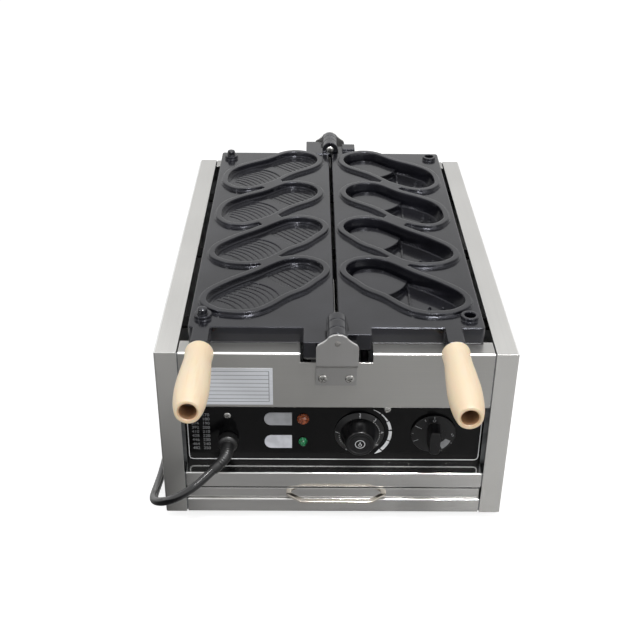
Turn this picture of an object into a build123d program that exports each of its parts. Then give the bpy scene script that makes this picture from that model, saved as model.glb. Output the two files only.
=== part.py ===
from build123d import *
import math
import os

os.makedirs("parts", exist_ok=True)

# Countertop baker for shoe-shaped waffles: two cast mould plates hinged along one middle axis, flat open
# over a stainless casing that holds the heaters, the controls and a crumb drawer.
# All sizes are in millimetres. The working axes have x = 0 on the hinge axis, y = 0 on the casing's front
# face (y grows to the rear) and z = 0 on the casing's bottom edge. save() moves them to the row's origin.

# Casing sheets
BODY_W = 360.0
BODY_D = 498.0
BODY_H = 202.6
SHEET = 1.5
BEND = 2.2
FLANGE = 22.4
SEAM = 1.6
FIT = 0.3
APRON_H = 65.6
RAIL_TOP = 53.0
UPPER_RAIL_H = 19.2
LOWER_RAIL_H = 17.5
RECESS = 17.4
RAIL_RETURN = 15.0
NOTCH_HALF = 36.0
NOTCH_DROP = 10.5
SPLICE_W = 37.0

# Feet
FOOT_H = 10.0
FOOT_R = 13.0
FOOT_INSET_X = 40.0
FOOT_INSET_Y = 45.0
FOOT_STUD_R = 4.0

# Mould plates
PLATE_FRONT = 18.8
PLATE_REAR_GAP = 18.0
PLATE_SIDE_GAP = 10.6
PLATE_T = 18.3
PLATE_WALL = 6.0
WEB_T = 6.0
HALF_GAP = 2.0
CLOSED_GAP = 0.3
RIM_H = 4.0
RIM_W = 6.4
RIM_DRAFT = 0.7
RIM_STEP_W = 1.2
RIM_STEP_H = 0.8
BRIDGE_SLACK = 3.0
BOWL_WALL = 5.0
DRAFT_DEG = 12.0
CROSS_RIB_T = 5.0
CROSS_RIBS = 3

# Shoe-shaped cavities: u runs from toe to heel, v across, the straight side at positive v
FRONT_SHOE = [
    (-72, 1), (-68, 15.5), (-58, 23.2), (-40, 27.2), (-18, 28.2), (6, 27.2), (34, 28.4), (54, 25.6),
    (66, 16.5), (72, 1), (69, -13), (60, -21.5), (40, -27.3), (22, -31.2), (2, -30.3), (-18, -32.8),
    (-34, -34.2), (-50, -30.5), (-63, -19.3), (-70.5, -7),
]
REAR_SHOE = [
    (-72, -1.5), (-68.5, 12.5), (-58, 20.5), (-44, 24.5), (-26, 26.3), (-8, 24.3), (8, 23.3), (24, 24.8),
    (40, 26.6), (52, 25.2), (62, 20.3), (70.5, 10.2), (72.8, 0), (70.5, -12), (62, -24.5), (48, -29.5),
    (32, -29.6), (18, -30.3), (0, -34.2), (-18, -37), (-34, -36.6), (-48, -31.5), (-62, -20.5), (-70.5, -9.5),
]
ROW_PITCH = 104.7
FIRST_ROW = 84.4
TURN_ROW_PITCH = 99.5
SHOE_ROWS = 4
FRONT_TILT = 42.0
REAR_TILT = 46.0
FRONT_SHIFT = 2.2
REAR_SHIFT = -0.8
LEDGE_DEPTH = 6.5
TREAD_DEPTH = 7.4
TREAD_INSET = 6.5
TREAD_PITCH = 6.6
TREAD_GROOVE_W = 1.8
TREAD_GROOVE_DEPTH = 0.5
FORE_ARC_R = 42.0
FORE_ARC_U = 3.0
FORE_RIBS = 8
HEEL_LINE_U = 16.0
HEEL_RIBS = 7
RIB_SIDE = 4.0
RIB_MARGIN = 2.5
UPPER_DEPTH = 16.5
PLATFORM_DEPTH = 9.0
PLATFORM_INSET = 8.0
PLATFORM_ARC_R = 50.0
PLATFORM_U = 4.0
STRAP_BEAD = 2.0
FRONT_STRAP_U = -8.5
REAR_STRAP_U = -17.0
STRAP_INSET = 4.0
FRONT_STUDS = [(-37, -2.5), (-48, 5.5)]
REAR_STUDS = [(-30, -22), (-42, -20.5), (-40.5, -7.5)]
STUD_R = 1.8
STUD_H = 3.6

# Hinge
BARREL_R = 10.5
PIN_R = 5.0
PIN_CLEAR = 0.06
KNUCKLE_GAP = 1.0
KNUCKLE_CLEAR = 1.2
KNUCKLE_SLOT = 3.5
LUG_HALF = 32.6
RIGHT_LUG_HALF = 34.0
LUG_DROP = 4.9
LUG_ROUND = 6.0
LUG_BEVEL = 6.0
FRONT_KNUCKLES = (24.0, 12.0, -2.2, -15.4)
REAR_KNUCKLES = (481.0, 495.0, 508.0, 520.6)
LEFT_LUG_FRONT = -9.5
RIGHT_LUG_FRONT = 5.6
LEFT_LUG_REAR = 518.0
RIGHT_LUG_REAR = 505.0
LEFT_REAR_RAISE = 1.8
RIGHT_REAR_RAISE = 3.4

# Hinge brackets
BRACKET_T = 2.5
BRACKET_W = 41.0
BRACKET_DROP = 36.2
BRACKET_LEAF_H = 24.0
BRACKET_SHOULDER = -5.5
BRACKET_PROFILE = [(19.0, -2.0), (14.4, 0.9), (10.4, 4.2), (8.4, 7.0), (4.4, 9.3)]
BRACKET_PEAK = 10.2
BRACKET_SCREW_X = 13.3
BRACKET_SCREW_R = 4.6
BRACKET_SCREW_UP = 8.6
LEAF_CLEAR = 0.6

# Handles
LEFT_TAB_IN = 13.6
RIGHT_TAB_IN = 31.6
TAB_W = 16.4
LEFT_TAB_REACH = 8.8
RIGHT_TAB_REACH = 7.3
LEFT_TILT = 3.3
HANDLE_L = 105.5
HANDLE_ROOT_R = 14.0
HANDLE_WAIST_R = 13.4
HANDLE_BELLY_R = 16.0
HANDLE_END_R = 11.9
HANDLE_BORE_R = 7.9
HANDLE_BORE_L = 26.0
HANDLE_DROP = 12.7
ROD_R = 3.0
ROD_IN = 13.0
NUT_R = 6.6
NUT_T = 6.5
WASHER_T = 1.0

# Locating pins and sockets of the plates
LOCATOR_IN = 13.2
LOCATOR_FRONT = 19.4
LOCATOR_R = 5.0
LOCATOR_UP = 6.5
SOCKET_R = 6.0
BOSS_R = 9.2

# Drawer
TRAY_SHEET = 1.0
TRAY_SIDE_GAP = 6.0
DRAWER_SETBACK = 2.6
TRAY_H = 9.2
TRAY_REAR_GAP = 26.0
DRAWER_FRONT_GAP = 0.4
PULL_OFF_CENTRE = 2.6
PULL_ROOT_HALF = 50.5
PULL_GRIP_HALF = 36.0
PULL_REACH = 15.0
PULL_BAR_W = 5.6
PULL_BAR_H = 3.2
PULL_UP = 7.1
RUNNER_SHELF = 36.0

# Controls
OVERLAY_T = 0.5
KNOB_Z = 94.0
TEMP_X = 26.0
TIMER_X = 103.5
SKIRT_R = 26.0
SKIRT_T = 3.4
CAP_R = 20.4
CAP_FACE_R = 14.5
CAP_DEPTH = 17.0
TIMER_DISC_R = 23.4
TIMER_DISC_T = 2.6
GRIP_W = 12.0
GRIP_L = 42.0
GRIP_FACE_W = 10.0
GRIP_FACE_L = 28.0
GRIP_DEPTH = 17.0
SHAFT_R = 3.0
SHAFT_CLEAR = 0.25
KNOB_GAP = 0.6
LAMP_X = -33.0
WORK_LAMP_Z = 111.0
POWER_LAMP_Z = 82.0
WORK_LAMP_R = 6.4
POWER_LAMP_R = 4.8
GLAND_X = -111.5
GLAND_Z = 84.0
GLAND_R = 10.5
GLAND_L = 12.4
SLEEVE_WALL = 1.4
SLEEVE_BEND = 22.0
SHIELD_TOP = 150.0
SHIELD_REAR = 62.0

# Heaters
HEATER_R = 4.0
HEATER_Z = 190.0
HEATER_RUNS = 4
HEATER_PITCH = 32.0
HEATER_INNER_X = 29.0
HEATER_END_GAP = 36.0
SUPPORT_T = 3.0
SUPPORT_W = 20.0

# Cord
CORD_R = 4.5
COIL_PITCH = 9.7
COIL_INNER_R = 44.0
PLUG_L = 50.0

# Places worked out from the driving sizes
HALF_W = BODY_W / 2
FRONT_HALF = HALF_W - FLANGE - SEAM
APRON_BOTTOM = BODY_H - APRON_H
UPPER_RAIL_BOTTOM = RAIL_TOP - UPPER_RAIL_H
INNER_HALF = HALF_W - SHEET
PLATE_OUT = HALF_W - FLANGE - PLATE_SIDE_GAP
PLATE_REAR = BODY_D - PLATE_REAR_GAP
PLATE_BOTTOM = BODY_H + FIT
PLATE_TOP = PLATE_BOTTOM + PLATE_T
MATE_Z = PLATE_TOP + RIM_H
AXIS_Z = MATE_Z + CLOSED_GAP / 2
PLATE_MID = (PLATE_OUT + HALF_GAP) / 2
LUG_BOTTOM = PLATE_BOTTOM - LUG_DROP
FRONT_LEAF = FRONT_KNUCKLES[-1] - LEAF_CLEAR
REAR_LEAF = REAR_KNUCKLES[-1] + LEAF_CLEAR
HANDLE_Z = PLATE_TOP - HANDLE_DROP
LEFT_HANDLE_X = -(PLATE_OUT - LEFT_TAB_IN)
RIGHT_HANDLE_X = PLATE_OUT - RIGHT_TAB_IN
LEFT_SLOPE = math.radians(LEFT_TILT)
LEFT_END = (WASHER_T + HANDLE_L) * math.cos(LEFT_SLOPE) + HANDLE_END_R * math.sin(LEFT_SLOPE)
FRONT_REACH = -(LEFT_TAB_REACH + LEFT_END)
REAR_REACH = REAR_LEAF + BRACKET_T
MID_Y = (FRONT_REACH + REAR_REACH) / 2
FLOOR_Z = -FOOT_H
TO_ROW = Location((0, -MID_Y, FOOT_H))


def save(name, *shapes):
    """Writes one named piece, or one group of like pieces, in the row's axes."""
    solids = []
    for shape in shapes:
        solids += list(shape.moved(TO_ROW).solids())
    result = solids[0] if len(solids) == 1 else Compound(children=solids)
    export_step(result, f"parts/{name}.step")


def block(x0, x1, y0, y1, z0, z1):
    """A box between two corners."""
    size = Box(x1 - x0, y1 - y0, z1 - z0)
    return Pos((x0 + x1) / 2, (y0 + y1) / 2, (z0 + z1) / 2) * size


def rod_y(x, z, radius, y0, y1):
    """A round bar along Y."""
    bar = Rot(90, 0, 0) * Cylinder(radius, abs(y1 - y0))
    return Pos(x, (y0 + y1) / 2, z) * bar


def rod_z(x, y, radius, z0, z1, top_radius=None):
    """A round bar or cone along Z."""
    height = z1 - z0
    bar = Cylinder(radius, height) if top_radius is None else Cone(radius, top_radius, height)
    return Pos(x, y, (z0 + z1) / 2) * bar


def mirrored_x(shape):
    return shape.mirror(Plane.YZ)


# Side panels: folded channels, open to the inside, whose edges show at the front, top and rear.
def side_panel():
    outer = block(-HALF_W, -HALF_W + FLANGE, 0, BODY_D, 0, BODY_H)
    long_edges = [
        e
        for e in outer.edges()
        if abs(e.center().X + HALF_W) < 0.01
        and (abs(e.center().Z - BODY_H) < 0.01 or abs(e.center().Z - BODY_H / 2) < 0.01)
    ]
    outer = fillet(long_edges, BEND)
    hollow = block(-INNER_HALF, 0, SHEET, BODY_D - SHEET, SHEET, BODY_H - SHEET)
    return outer - hollow


left_side_panel = side_panel()
save("left_side_panel", left_side_panel)
save("right_side_panel", mirrored_x(left_side_panel))


# Front apron: face, top flange under the plates and a return above the control panel.
def hinge_notch(y0, y1):
    return block(-NOTCH_HALF, NOTCH_HALF, y0, y1, BODY_H - NOTCH_DROP, BODY_H + 1)


apron = block(-FRONT_HALF, FRONT_HALF, 0, FLANGE, APRON_BOTTOM, BODY_H)
apron = fillet(apron.edges().filter_by(Axis.X).group_by(Axis.Y)[0], BEND)
apron -= block(-HALF_W, HALF_W, SHEET, HALF_W, APRON_BOTTOM + SHEET, BODY_H - SHEET)
apron -= block(-HALF_W, HALF_W, RECESS, BODY_D, APRON_BOTTOM - 1, APRON_BOTTOM + 2 * SHEET)
apron -= hinge_notch(-1, FLANGE + 1)


# Rear panel: the same flange for the plates, and louvre slots low down.
rear_panel = block(-FRONT_HALF, FRONT_HALF, BODY_D - FLANGE, BODY_D, 0, BODY_H)
rear_panel = fillet(rear_panel.edges().filter_by(Axis.X).group_by(Axis.Y)[-1].group_by(Axis.Z)[-1], BEND)
rear_panel -= block(-HALF_W, HALF_W, 0, BODY_D - SHEET, -1, BODY_H - SHEET)
rear_panel -= hinge_notch(BODY_D - FLANGE - 1, BODY_D + 1)
VENT_W = 5.0
VENT_L = 46.0
VENT_PITCH = 14.0
VENT_COUNT = 7
VENT_LOW = 70.0
vents = []
for side in (-1, 1):
    for i in range(VENT_COUNT):
        x = side * (NOTCH_HALF + 12 + i * VENT_PITCH)
        vent = block(x - VENT_W / 2, x + VENT_W / 2, BODY_D - 9, BODY_D + 9, VENT_LOW, VENT_LOW + VENT_L)
        vents.append(vent)
rear_panel -= vents


# Rails above and below the drawer.
def rail(z0, z1, top_return, bottom_return):
    face = block(-FRONT_HALF, FRONT_HALF, 0, SHEET, z0, z1)
    top = block(-FRONT_HALF, FRONT_HALF, 0, top_return, z1 - SHEET, z1)
    bottom = block(-FRONT_HALF, FRONT_HALF, 0, bottom_return, z0, z0 + SHEET)
    folded = face + top + bottom
    front = folded.edges().filter_by(Axis.X).group_by(Axis.Y)[0]
    return fillet(front, SHEET * 0.8)


PANEL_BACK = RECESS + OVERLAY_T + SHEET
save("upper_front_rail", rail(UPPER_RAIL_BOTTOM, RAIL_TOP, PANEL_BACK + 8, RAIL_RETURN))
save("lower_front_rail", rail(0, LOWER_RAIL_H, RAIL_RETURN, RAIL_RETURN))


# Splice plates join the front and rear sheets to the side panels from behind.
def splice(y0, z0, z1):
    left = block(-INNER_HALF + FIT, -INNER_HALF + FIT + SPLICE_W, y0, y0 + SHEET, z0, z1)
    return [left, mirrored_x(left)]


splices = []
splices += splice(SHEET, SHEET, LOWER_RAIL_H - SHEET)
splices += splice(SHEET, UPPER_RAIL_BOTTOM + SHEET, RAIL_TOP - SHEET)
splices += splice(SHEET, APRON_BOTTOM + SHEET, BODY_H - SHEET)
splices += splice(BODY_D - 2 * SHEET, RAIL_TOP, BODY_H - SHEET)
save("splice_plates", *splices)


# Base plate with its feet, lying on the lower flanges of the side panels.
base_plate = block(
    -INNER_HALF + FIT, INNER_HALF - FIT, 2 * SHEET + FIT, BODY_D - 2 * SHEET - FIT, SHEET, 2 * SHEET
)
BASE_SLOT_L = 60.0
base_slots = []
for i in range(6):
    y = BODY_D / 2 + (i - 2.5) * 40
    base_slots.append(block(-BASE_SLOT_L / 2, BASE_SLOT_L / 2, y - 4, y + 4, 0, 3 * SHEET))
base_plate -= base_slots
foot_places = [
    (sx * (HALF_W - FOOT_INSET_X), y)
    for sx in (-1, 1)
    for y in (FOOT_INSET_Y, BODY_D - FOOT_INSET_Y)
]
base_plate -= [rod_z(x, y, FOOT_STUD_R, 0, 3 * SHEET) for x, y in foot_places]
save("base_plate", base_plate)


def rubber_foot(x, y):
    pad = rod_z(x, y, FOOT_R * 0.86, -FOOT_H, SHEET, FOOT_R)
    stud = rod_z(x, y, FOOT_STUD_R, SHEET, 2 * SHEET)
    cap = rod_z(x, y, FOOT_STUD_R + 2, 2 * SHEET, 3 * SHEET)
    return pad + stud + cap


save("rubber_feet", *[rubber_foot(x, y) for x, y in foot_places])


# Shoe outline, in its own axes, as a closed curve moved outwards by a distance.
SAMPLES = 36


def shoe_ring(outline, outward, count=SAMPLES):
    """Points on the outline moved outwards, at steady steps."""
    curve = Spline(*[(u, v, 0) for u, v in outline], periodic=True)
    points = []
    for i in range(count):
        p = curve.position_at(i / count)
        t = curve.tangent_at(i / count)
        points.append((p.X - t.Y * outward, p.Y + t.X * outward))
    return points


def shoe_face(outline, outward, z):
    ring = [(u, v, z) for u, v in shoe_ring(outline, outward)]
    return make_face(Spline(*ring, periodic=True)).face()


def tapered(outline, low_out, low_z, high_out, high_z):
    """A body with straight drafted sides between two offsets of the outline."""
    low = shoe_face(outline, low_out, low_z)
    high = shoe_face(outline, high_out, high_z)
    return Solid.make_loft([low.outer_wire(), high.outer_wire()], True)


def common(*faces):
    """The faces that several flat faces share."""
    shared = faces[0]
    for face in faces[1:]:
        shared = shared & face
        if not shared:
            return []
    return list(shared.faces())


def prisms(faces, z0, z1):
    return [Pos(0, 0, z0) * extrude(face, z1 - z0, dir=(0, 0, 1)) for face in faces]


DRAFT = math.tan(math.radians(DRAFT_DEG))
SHOE_REACH = 90.0


def sole_pocket(outline):
    """The cavity for the sole: a ledge, with sunk and ribbed treads under the ball and the heel."""
    ledge_z = MATE_Z - LEDGE_DEPTH
    tread_z = MATE_Z - TREAD_DEPTH
    rib_z = tread_z - TREAD_GROOVE_DEPTH
    cuts = [tapered(outline, -LEDGE_DEPTH * DRAFT, ledge_z, FIT * DRAFT, MATE_Z + FIT)]
    inset = shoe_face(outline, -TREAD_INSET, 0)
    arc_centre = FORE_ARC_U - FORE_ARC_R
    toe_half = Pos(arc_centre - SHOE_REACH / 2, 0) * Rectangle(SHOE_REACH, SHOE_REACH)
    heel_half = Pos(HEEL_LINE_U + SHOE_REACH / 2, 0) * Rectangle(SHOE_REACH, SHOE_REACH)
    ball = Pos(arc_centre, -RIB_SIDE) * Circle(FORE_ARC_R)
    cuts += prisms(common(inset, toe_half + ball), tread_z, ledge_z + FIT)
    cuts += prisms(common(inset, heel_half), tread_z, ledge_z + FIT)
    ribbed = shoe_face(outline, -TREAD_INSET - RIB_MARGIN, 0)
    for i in range(1, FORE_RIBS + 1):
        centre = arc_centre - i * TREAD_PITCH
        ring = Circle(FORE_ARC_R) - Circle(FORE_ARC_R - TREAD_GROOVE_W)
        front = Pos(FORE_ARC_R / 4 + SHOE_REACH / 2, 0) * Rectangle(SHOE_REACH, SHOE_REACH)
        groove = common(ribbed, Pos(centre, -RIB_SIDE) * (ring & front))
        cuts += prisms(groove, rib_z, tread_z + FIT)
    for i in range(1, HEEL_RIBS + 1):
        line = Pos(HEEL_LINE_U + i * TREAD_PITCH, 0) * Rectangle(TREAD_GROOVE_W, SHOE_REACH)
        cuts += prisms(common(ribbed, line), rib_z, tread_z + FIT)
    return [cuts[0] + cuts[1:]]


def upper_pocket(outline):
    """The cavity for the upper: deep, with a raised heel platform, a strap bead and toe studs."""
    floor_z = MATE_Z - UPPER_DEPTH
    platform_z = MATE_Z - PLATFORM_DEPTH
    pocket = tapered(outline, -UPPER_DEPTH * DRAFT, floor_z, FIT * DRAFT, MATE_Z + FIT)
    behind = Pos(PLATFORM_U + PLATFORM_ARC_R, -RIB_SIDE) * Circle(PLATFORM_ARC_R)
    platform = prisms(common(shoe_face(outline, -PLATFORM_INSET, 0), behind), floor_z, platform_z)
    front = outline is FRONT_SHOE
    strap_u, strap_turn = (FRONT_STRAP_U, -FRONT_TILT) if front else (REAR_STRAP_U, REAR_TILT)
    line = Pos(strap_u, 0) * Rot(0, 0, strap_turn) * Rectangle(STRAP_BEAD, SHOE_REACH)
    bead = prisms(common(shoe_face(outline, -STRAP_INSET, 0), line), floor_z, floor_z + STRAP_BEAD)
    studs = [
        rod_z(u, v, STUD_R, floor_z, floor_z + STUD_H, STUD_R * 0.6)
        for u, v in (FRONT_STUDS if front else REAR_STUDS)
    ]
    return [pocket - (platform + bead + studs)]


def rim_body(outline):
    """The raised rim round one cavity, on a low step."""
    foot = RIM_W + RIM_DRAFT
    low = PLATE_TOP - WEB_T / 3
    step = tapered(outline, foot + RIM_STEP_W, low, foot + RIM_STEP_W, PLATE_TOP + RIM_STEP_H)
    wall = tapered(outline, foot, low, RIM_W, MATE_Z)
    return [step, wall]


def bowl_body(outline, depth):
    """The metal round one cavity under the web."""
    low = MATE_Z - depth - BOWL_WALL
    return [tapered(outline, BOWL_WALL - depth * DRAFT, low, BOWL_WALL, PLATE_TOP - WEB_T / 3)]


def shoe_place(k):
    """Where the cavity of the k-th row from the front lies on the left plate."""
    y = PLATE_FRONT + FIRST_ROW + k * ROW_PITCH
    if k < 2:
        return Pos(-PLATE_MID + FRONT_SHIFT, y, 0) * Rot(0, 0, FRONT_TILT)
    return Pos(-PLATE_MID + REAR_SHIFT, y + TURN_ROW_PITCH - ROW_PITCH, 0) * Rot(0, 0, REAR_TILT)


def all_shoes(make):
    """The four copies of one kind of shoe body, as the left plate has them."""
    placed = []
    for k in range(SHOE_ROWS):
        if k < 2:
            placed += [shoe_place(k) * body for body in make(FRONT_SHOE)]
        else:
            placed += [shoe_place(k) * body.mirror(Plane.XZ) for body in make(REAR_SHOE)]
    return placed


def rim_line(k):
    """Close-set points on the middle of the k-th rim of the left plate."""
    outline, side = (FRONT_SHOE, 1) if k < 2 else (REAR_SHOE, -1)
    ring = shoe_ring(outline, RIM_W / 2, 2 * SAMPLES)
    return [(shoe_place(k) * Pos(u, side * v, 0)).position for u, v in ring]


def rim_bridge(k):
    """The metal that joins two neighbouring rims where they nearly touch."""
    lower = rim_line(k)
    upper = rim_line(k + 1)
    to_upper = [min((p - q).length for q in upper) for p in lower]
    to_lower = [min((p - q).length for p in lower) for q in upper]
    reach = min(to_upper) + BRIDGE_SLACK
    near_lower = [p for p, gap in zip(lower, to_upper) if gap < reach]
    near_upper = [q for q, gap in zip(upper, to_lower) if gap < reach]
    near_lower.sort(key=lambda p: p.X)
    near_upper.sort(key=lambda q: -q.X)
    patch = make_face(Polyline(*(near_lower + near_upper), close=True)).face()
    return prisms([patch], PLATE_TOP - WEB_T / 3, MATE_Z)


def casting(pocket_depth):
    """The plain plate of the left side: web, skirt, rims, bowls and ribs."""
    slab = block(-PLATE_OUT, -HALF_GAP, PLATE_FRONT, PLATE_REAR, PLATE_BOTTOM, PLATE_TOP)
    slab = fillet(slab.edges().filter_by(Axis.Z), 3)
    slab = chamfer(slab.faces().sort_by(Axis.Z)[-1].edges(), 0.8)
    hollow = block(
        -PLATE_OUT + PLATE_WALL,
        -HALF_GAP - PLATE_WALL,
        PLATE_FRONT + PLATE_WALL,
        PLATE_REAR - PLATE_WALL,
        PLATE_BOTTOM - 1,
        PLATE_TOP - WEB_T,
    )
    plate = slab - hollow
    for k in range(1, CROSS_RIBS + 1):
        y = PLATE_FRONT + k * (PLATE_REAR - PLATE_FRONT) / (CROSS_RIBS + 1)
        y0 = y - CROSS_RIB_T / 2
        plate += block(-PLATE_OUT + 1, -HALF_GAP - 1, y0, y0 + CROSS_RIB_T, PLATE_BOTTOM + 2, PLATE_TOP - 1)
    plate += all_shoes(lambda outline: bowl_body(outline, pocket_depth))
    plate += all_shoes(rim_body)
    for k in range(SHOE_ROWS - 1):
        plate += rim_bridge(k)
    for y in locator_rows():
        plate += rod_z(-PLATE_OUT + LOCATOR_IN, y, BOSS_R, PLATE_BOTTOM + 2, MATE_Z, BOSS_R - 0.4)
    return plate


def locator_rows():
    return (PLATE_FRONT + LOCATOR_FRONT, PLATE_REAR - LOCATOR_FRONT)


def barrel(y0, y1):
    return rod_y(0, AXIS_Z, BARREL_R, y0, y1)


def barrel_room(y0, y1):
    return rod_y(0, AXIS_Z, BARREL_R + KNUCKLE_CLEAR, y0, y1)


def hinge_bore():
    return rod_y(0, AXIS_Z, PIN_R + PIN_CLEAR, FRONT_KNUCKLES[-1] - 1, REAR_KNUCKLES[-1] + 1) - block(
        -HALF_W, HALF_W, FRONT_KNUCKLES[0] + 3, REAR_KNUCKLES[0] - 3, 0, 2 * BODY_H
    )


def lug(half, end_y, root_y, top):
    """A hinge lug in the lower-left quarter of the axis, bevelled under its end."""
    y0 = min(end_y, root_y)
    y1 = max(end_y, root_y)
    arm = block(-half, -HALF_GAP / 2, y0, y1, LUG_BOTTOM, top)
    low = arm.edges().filter_by(Axis.Y).group_by(Axis.Z)[0].sort_by(Axis.X)[0]
    arm = fillet(low, LUG_ROUND)
    inwards = LUG_BEVEL if root_y > end_y else -LUG_BEVEL
    corner = Polyline(
        (end_y - inwards, LUG_BOTTOM - 1),
        (end_y + inwards + inwards / LUG_BEVEL, LUG_BOTTOM - 1),
        (end_y - inwards, LUG_BOTTOM + 2 * LUG_BEVEL),
        close=True,
    )
    return arm - extrude(Plane.YZ * make_face(corner), 2 * half, both=True)


# The handles' own axes: the origin in the middle of the ear's end face, the grip towards negative y.
LEFT_HANDLE = Pos(LEFT_HANDLE_X, -LEFT_TAB_REACH, HANDLE_Z) * Rot(-LEFT_TILT, 0, 0)
RIGHT_HANDLE = Pos(RIGHT_HANDLE_X, -RIGHT_TAB_REACH, HANDLE_Z)
MIRRORED_RIGHT_HANDLE = Pos(-RIGHT_HANDLE_X, -RIGHT_TAB_REACH, HANDLE_Z)


def tab(place):
    """The ear that carries a handle rod, its end square to the rod."""
    ear = block(-TAB_W / 2, TAB_W / 2, 0, 3 * TAB_W, -TAB_W, TAB_W)
    ear = fillet(ear.edges().filter_by(Axis.Z).group_by(Axis.Y)[0], 2)
    room = block(-HALF_W, 0, -HALF_W, PLATE_FRONT + PLATE_WALL, PLATE_BOTTOM, PLATE_TOP)
    return (place * ear) & room


def rod_bore(place):
    return place * rod_y(0, 0, ROD_R, -1, ROD_IN)


half_gap = KNUCKLE_GAP / 2

# Left plate: soles, two knuckles at each end, locating pins.
left_plate = casting(TREAD_DEPTH)
left_plate += lug(LUG_HALF, LEFT_LUG_FRONT, PLATE_FRONT + PLATE_WALL, PLATE_TOP)
left_plate += lug(LUG_HALF, LEFT_LUG_REAR, PLATE_REAR - PLATE_WALL, PLATE_TOP + LEFT_REAR_RAISE)
left_plate += tab(LEFT_HANDLE)
left_plate -= barrel_room(FRONT_KNUCKLES[2] - half_gap, FRONT_KNUCKLES[1] + half_gap)
left_plate -= barrel_room(REAR_KNUCKLES[1] - half_gap, REAR_KNUCKLES[2] + half_gap)
left_plate += barrel(FRONT_KNUCKLES[1] + half_gap, FRONT_KNUCKLES[0])
left_plate += barrel(FRONT_KNUCKLES[3], FRONT_KNUCKLES[2] - half_gap)
left_plate += barrel(REAR_KNUCKLES[0], REAR_KNUCKLES[1] - half_gap)
left_plate += barrel(REAR_KNUCKLES[2] + half_gap, REAR_KNUCKLES[3])
left_plate -= hinge_bore()
left_plate -= all_shoes(sole_pocket)
left_plate -= rod_bore(LEFT_HANDLE)
left_plate -= [
    rod_z(-PLATE_OUT + LOCATOR_IN, y, LOCATOR_R, MATE_Z - 12, MATE_Z + 1) for y in locator_rows()
]
save("left_mould_plate", left_plate)


# Right plate: uppers, one knuckle at each end, sockets for the pins.
right_plate = casting(UPPER_DEPTH)
right_plate -= all_shoes(upper_pocket)
right_plate += lug(RIGHT_LUG_HALF, RIGHT_LUG_FRONT, PLATE_FRONT + PLATE_WALL, PLATE_TOP)
right_plate += lug(RIGHT_LUG_HALF, RIGHT_LUG_REAR, PLATE_REAR - PLATE_WALL, PLATE_TOP)
right_plate += block(
    -RIGHT_LUG_HALF,
    -RIGHT_LUG_HALF / 2,
    PLATE_REAR + PLATE_WALL,
    RIGHT_LUG_REAR,
    PLATE_TOP - WEB_T / 3,
    PLATE_TOP + RIGHT_REAR_RAISE,
)
right_plate += tab(MIRRORED_RIGHT_HANDLE)
right_plate -= barrel_room(FRONT_KNUCKLES[1] - half_gap, FRONT_KNUCKLES[0] + KNUCKLE_SLOT)
right_plate -= barrel_room(REAR_KNUCKLES[0] - KNUCKLE_SLOT, REAR_KNUCKLES[1] + half_gap)
right_plate += barrel(FRONT_KNUCKLES[2] + half_gap, FRONT_KNUCKLES[1] - half_gap)
right_plate += barrel(REAR_KNUCKLES[1] + half_gap, REAR_KNUCKLES[2] - half_gap)
right_plate -= hinge_bore()
right_plate -= rod_bore(MIRRORED_RIGHT_HANDLE)
right_plate -= [
    rod_z(-PLATE_OUT + LOCATOR_IN, y, SOCKET_R, PLATE_BOTTOM - 1, MATE_Z + 1) for y in locator_rows()
]
save("right_mould_plate", mirrored_x(right_plate))


# Steel pins pressed into the left plate find the sockets of the right plate when it closes.
locators = []
for y in locator_rows():
    pin = rod_z(-PLATE_OUT + LOCATOR_IN, y, LOCATOR_R, MATE_Z - 12, MATE_Z + LOCATOR_UP)
    locators.append(chamfer(pin.edges().filter_by(GeomType.CIRCLE).sort_by(Axis.Z)[-1], 1.2))
save("locating_pins", *locators)


# Handles: a threaded rod, a turned grip with a deep counterbore, a washer and a nut.
def turned_grip():
    """Outline of the grip from root to end, turned about its axis."""
    end = HANDLE_L
    curve = Spline(
        (HANDLE_ROOT_R, 0.0),
        (HANDLE_WAIST_R, 0.16 * end),
        ((HANDLE_WAIST_R + 2 * HANDLE_BELLY_R) / 3, 0.42 * end),
        (HANDLE_BELLY_R, 0.66 * end),
        ((HANDLE_END_R + 2 * HANDLE_BELLY_R) / 3, 0.88 * end),
        (HANDLE_END_R, end),
    )
    profile = Polyline(
        (HANDLE_END_R, end),
        (HANDLE_BORE_R, end),
        (HANDLE_BORE_R, end - HANDLE_BORE_L),
        (ROD_R, end - HANDLE_BORE_L),
        (ROD_R, 0),
        (HANDLE_ROOT_R, 0),
    )
    face = make_face(curve + profile)
    return Pos(0, -WASHER_T, 0) * Rot(180, 0, 0) * revolve(face, Axis.Y)


def handle(side, place):
    """Rod, grip, washer and nut, made in the handle's own axes."""
    nut_y = HANDLE_BORE_L - WASHER_T - HANDLE_L
    rod = rod_y(0, 0, ROD_R, ROD_IN, nut_y - NUT_T - 2)
    washer = rod_y(0, 0, HANDLE_ROOT_R * 0.75, 0, -WASHER_T) - rod
    hexagon = extrude(Plane.XZ * RegularPolygon(NUT_R, 6), NUT_T)
    nut = Pos(0, nut_y, 0) * hexagon - rod
    save(f"{side}_handle_rod", place * rod)
    save(f"{side}_wooden_handle", place * turned_grip())
    save(f"{side}_handle_washer", place * washer)
    save(f"{side}_handle_nut", place * nut)


handle("left", LEFT_HANDLE)
handle("right", RIGHT_HANDLE)


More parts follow.
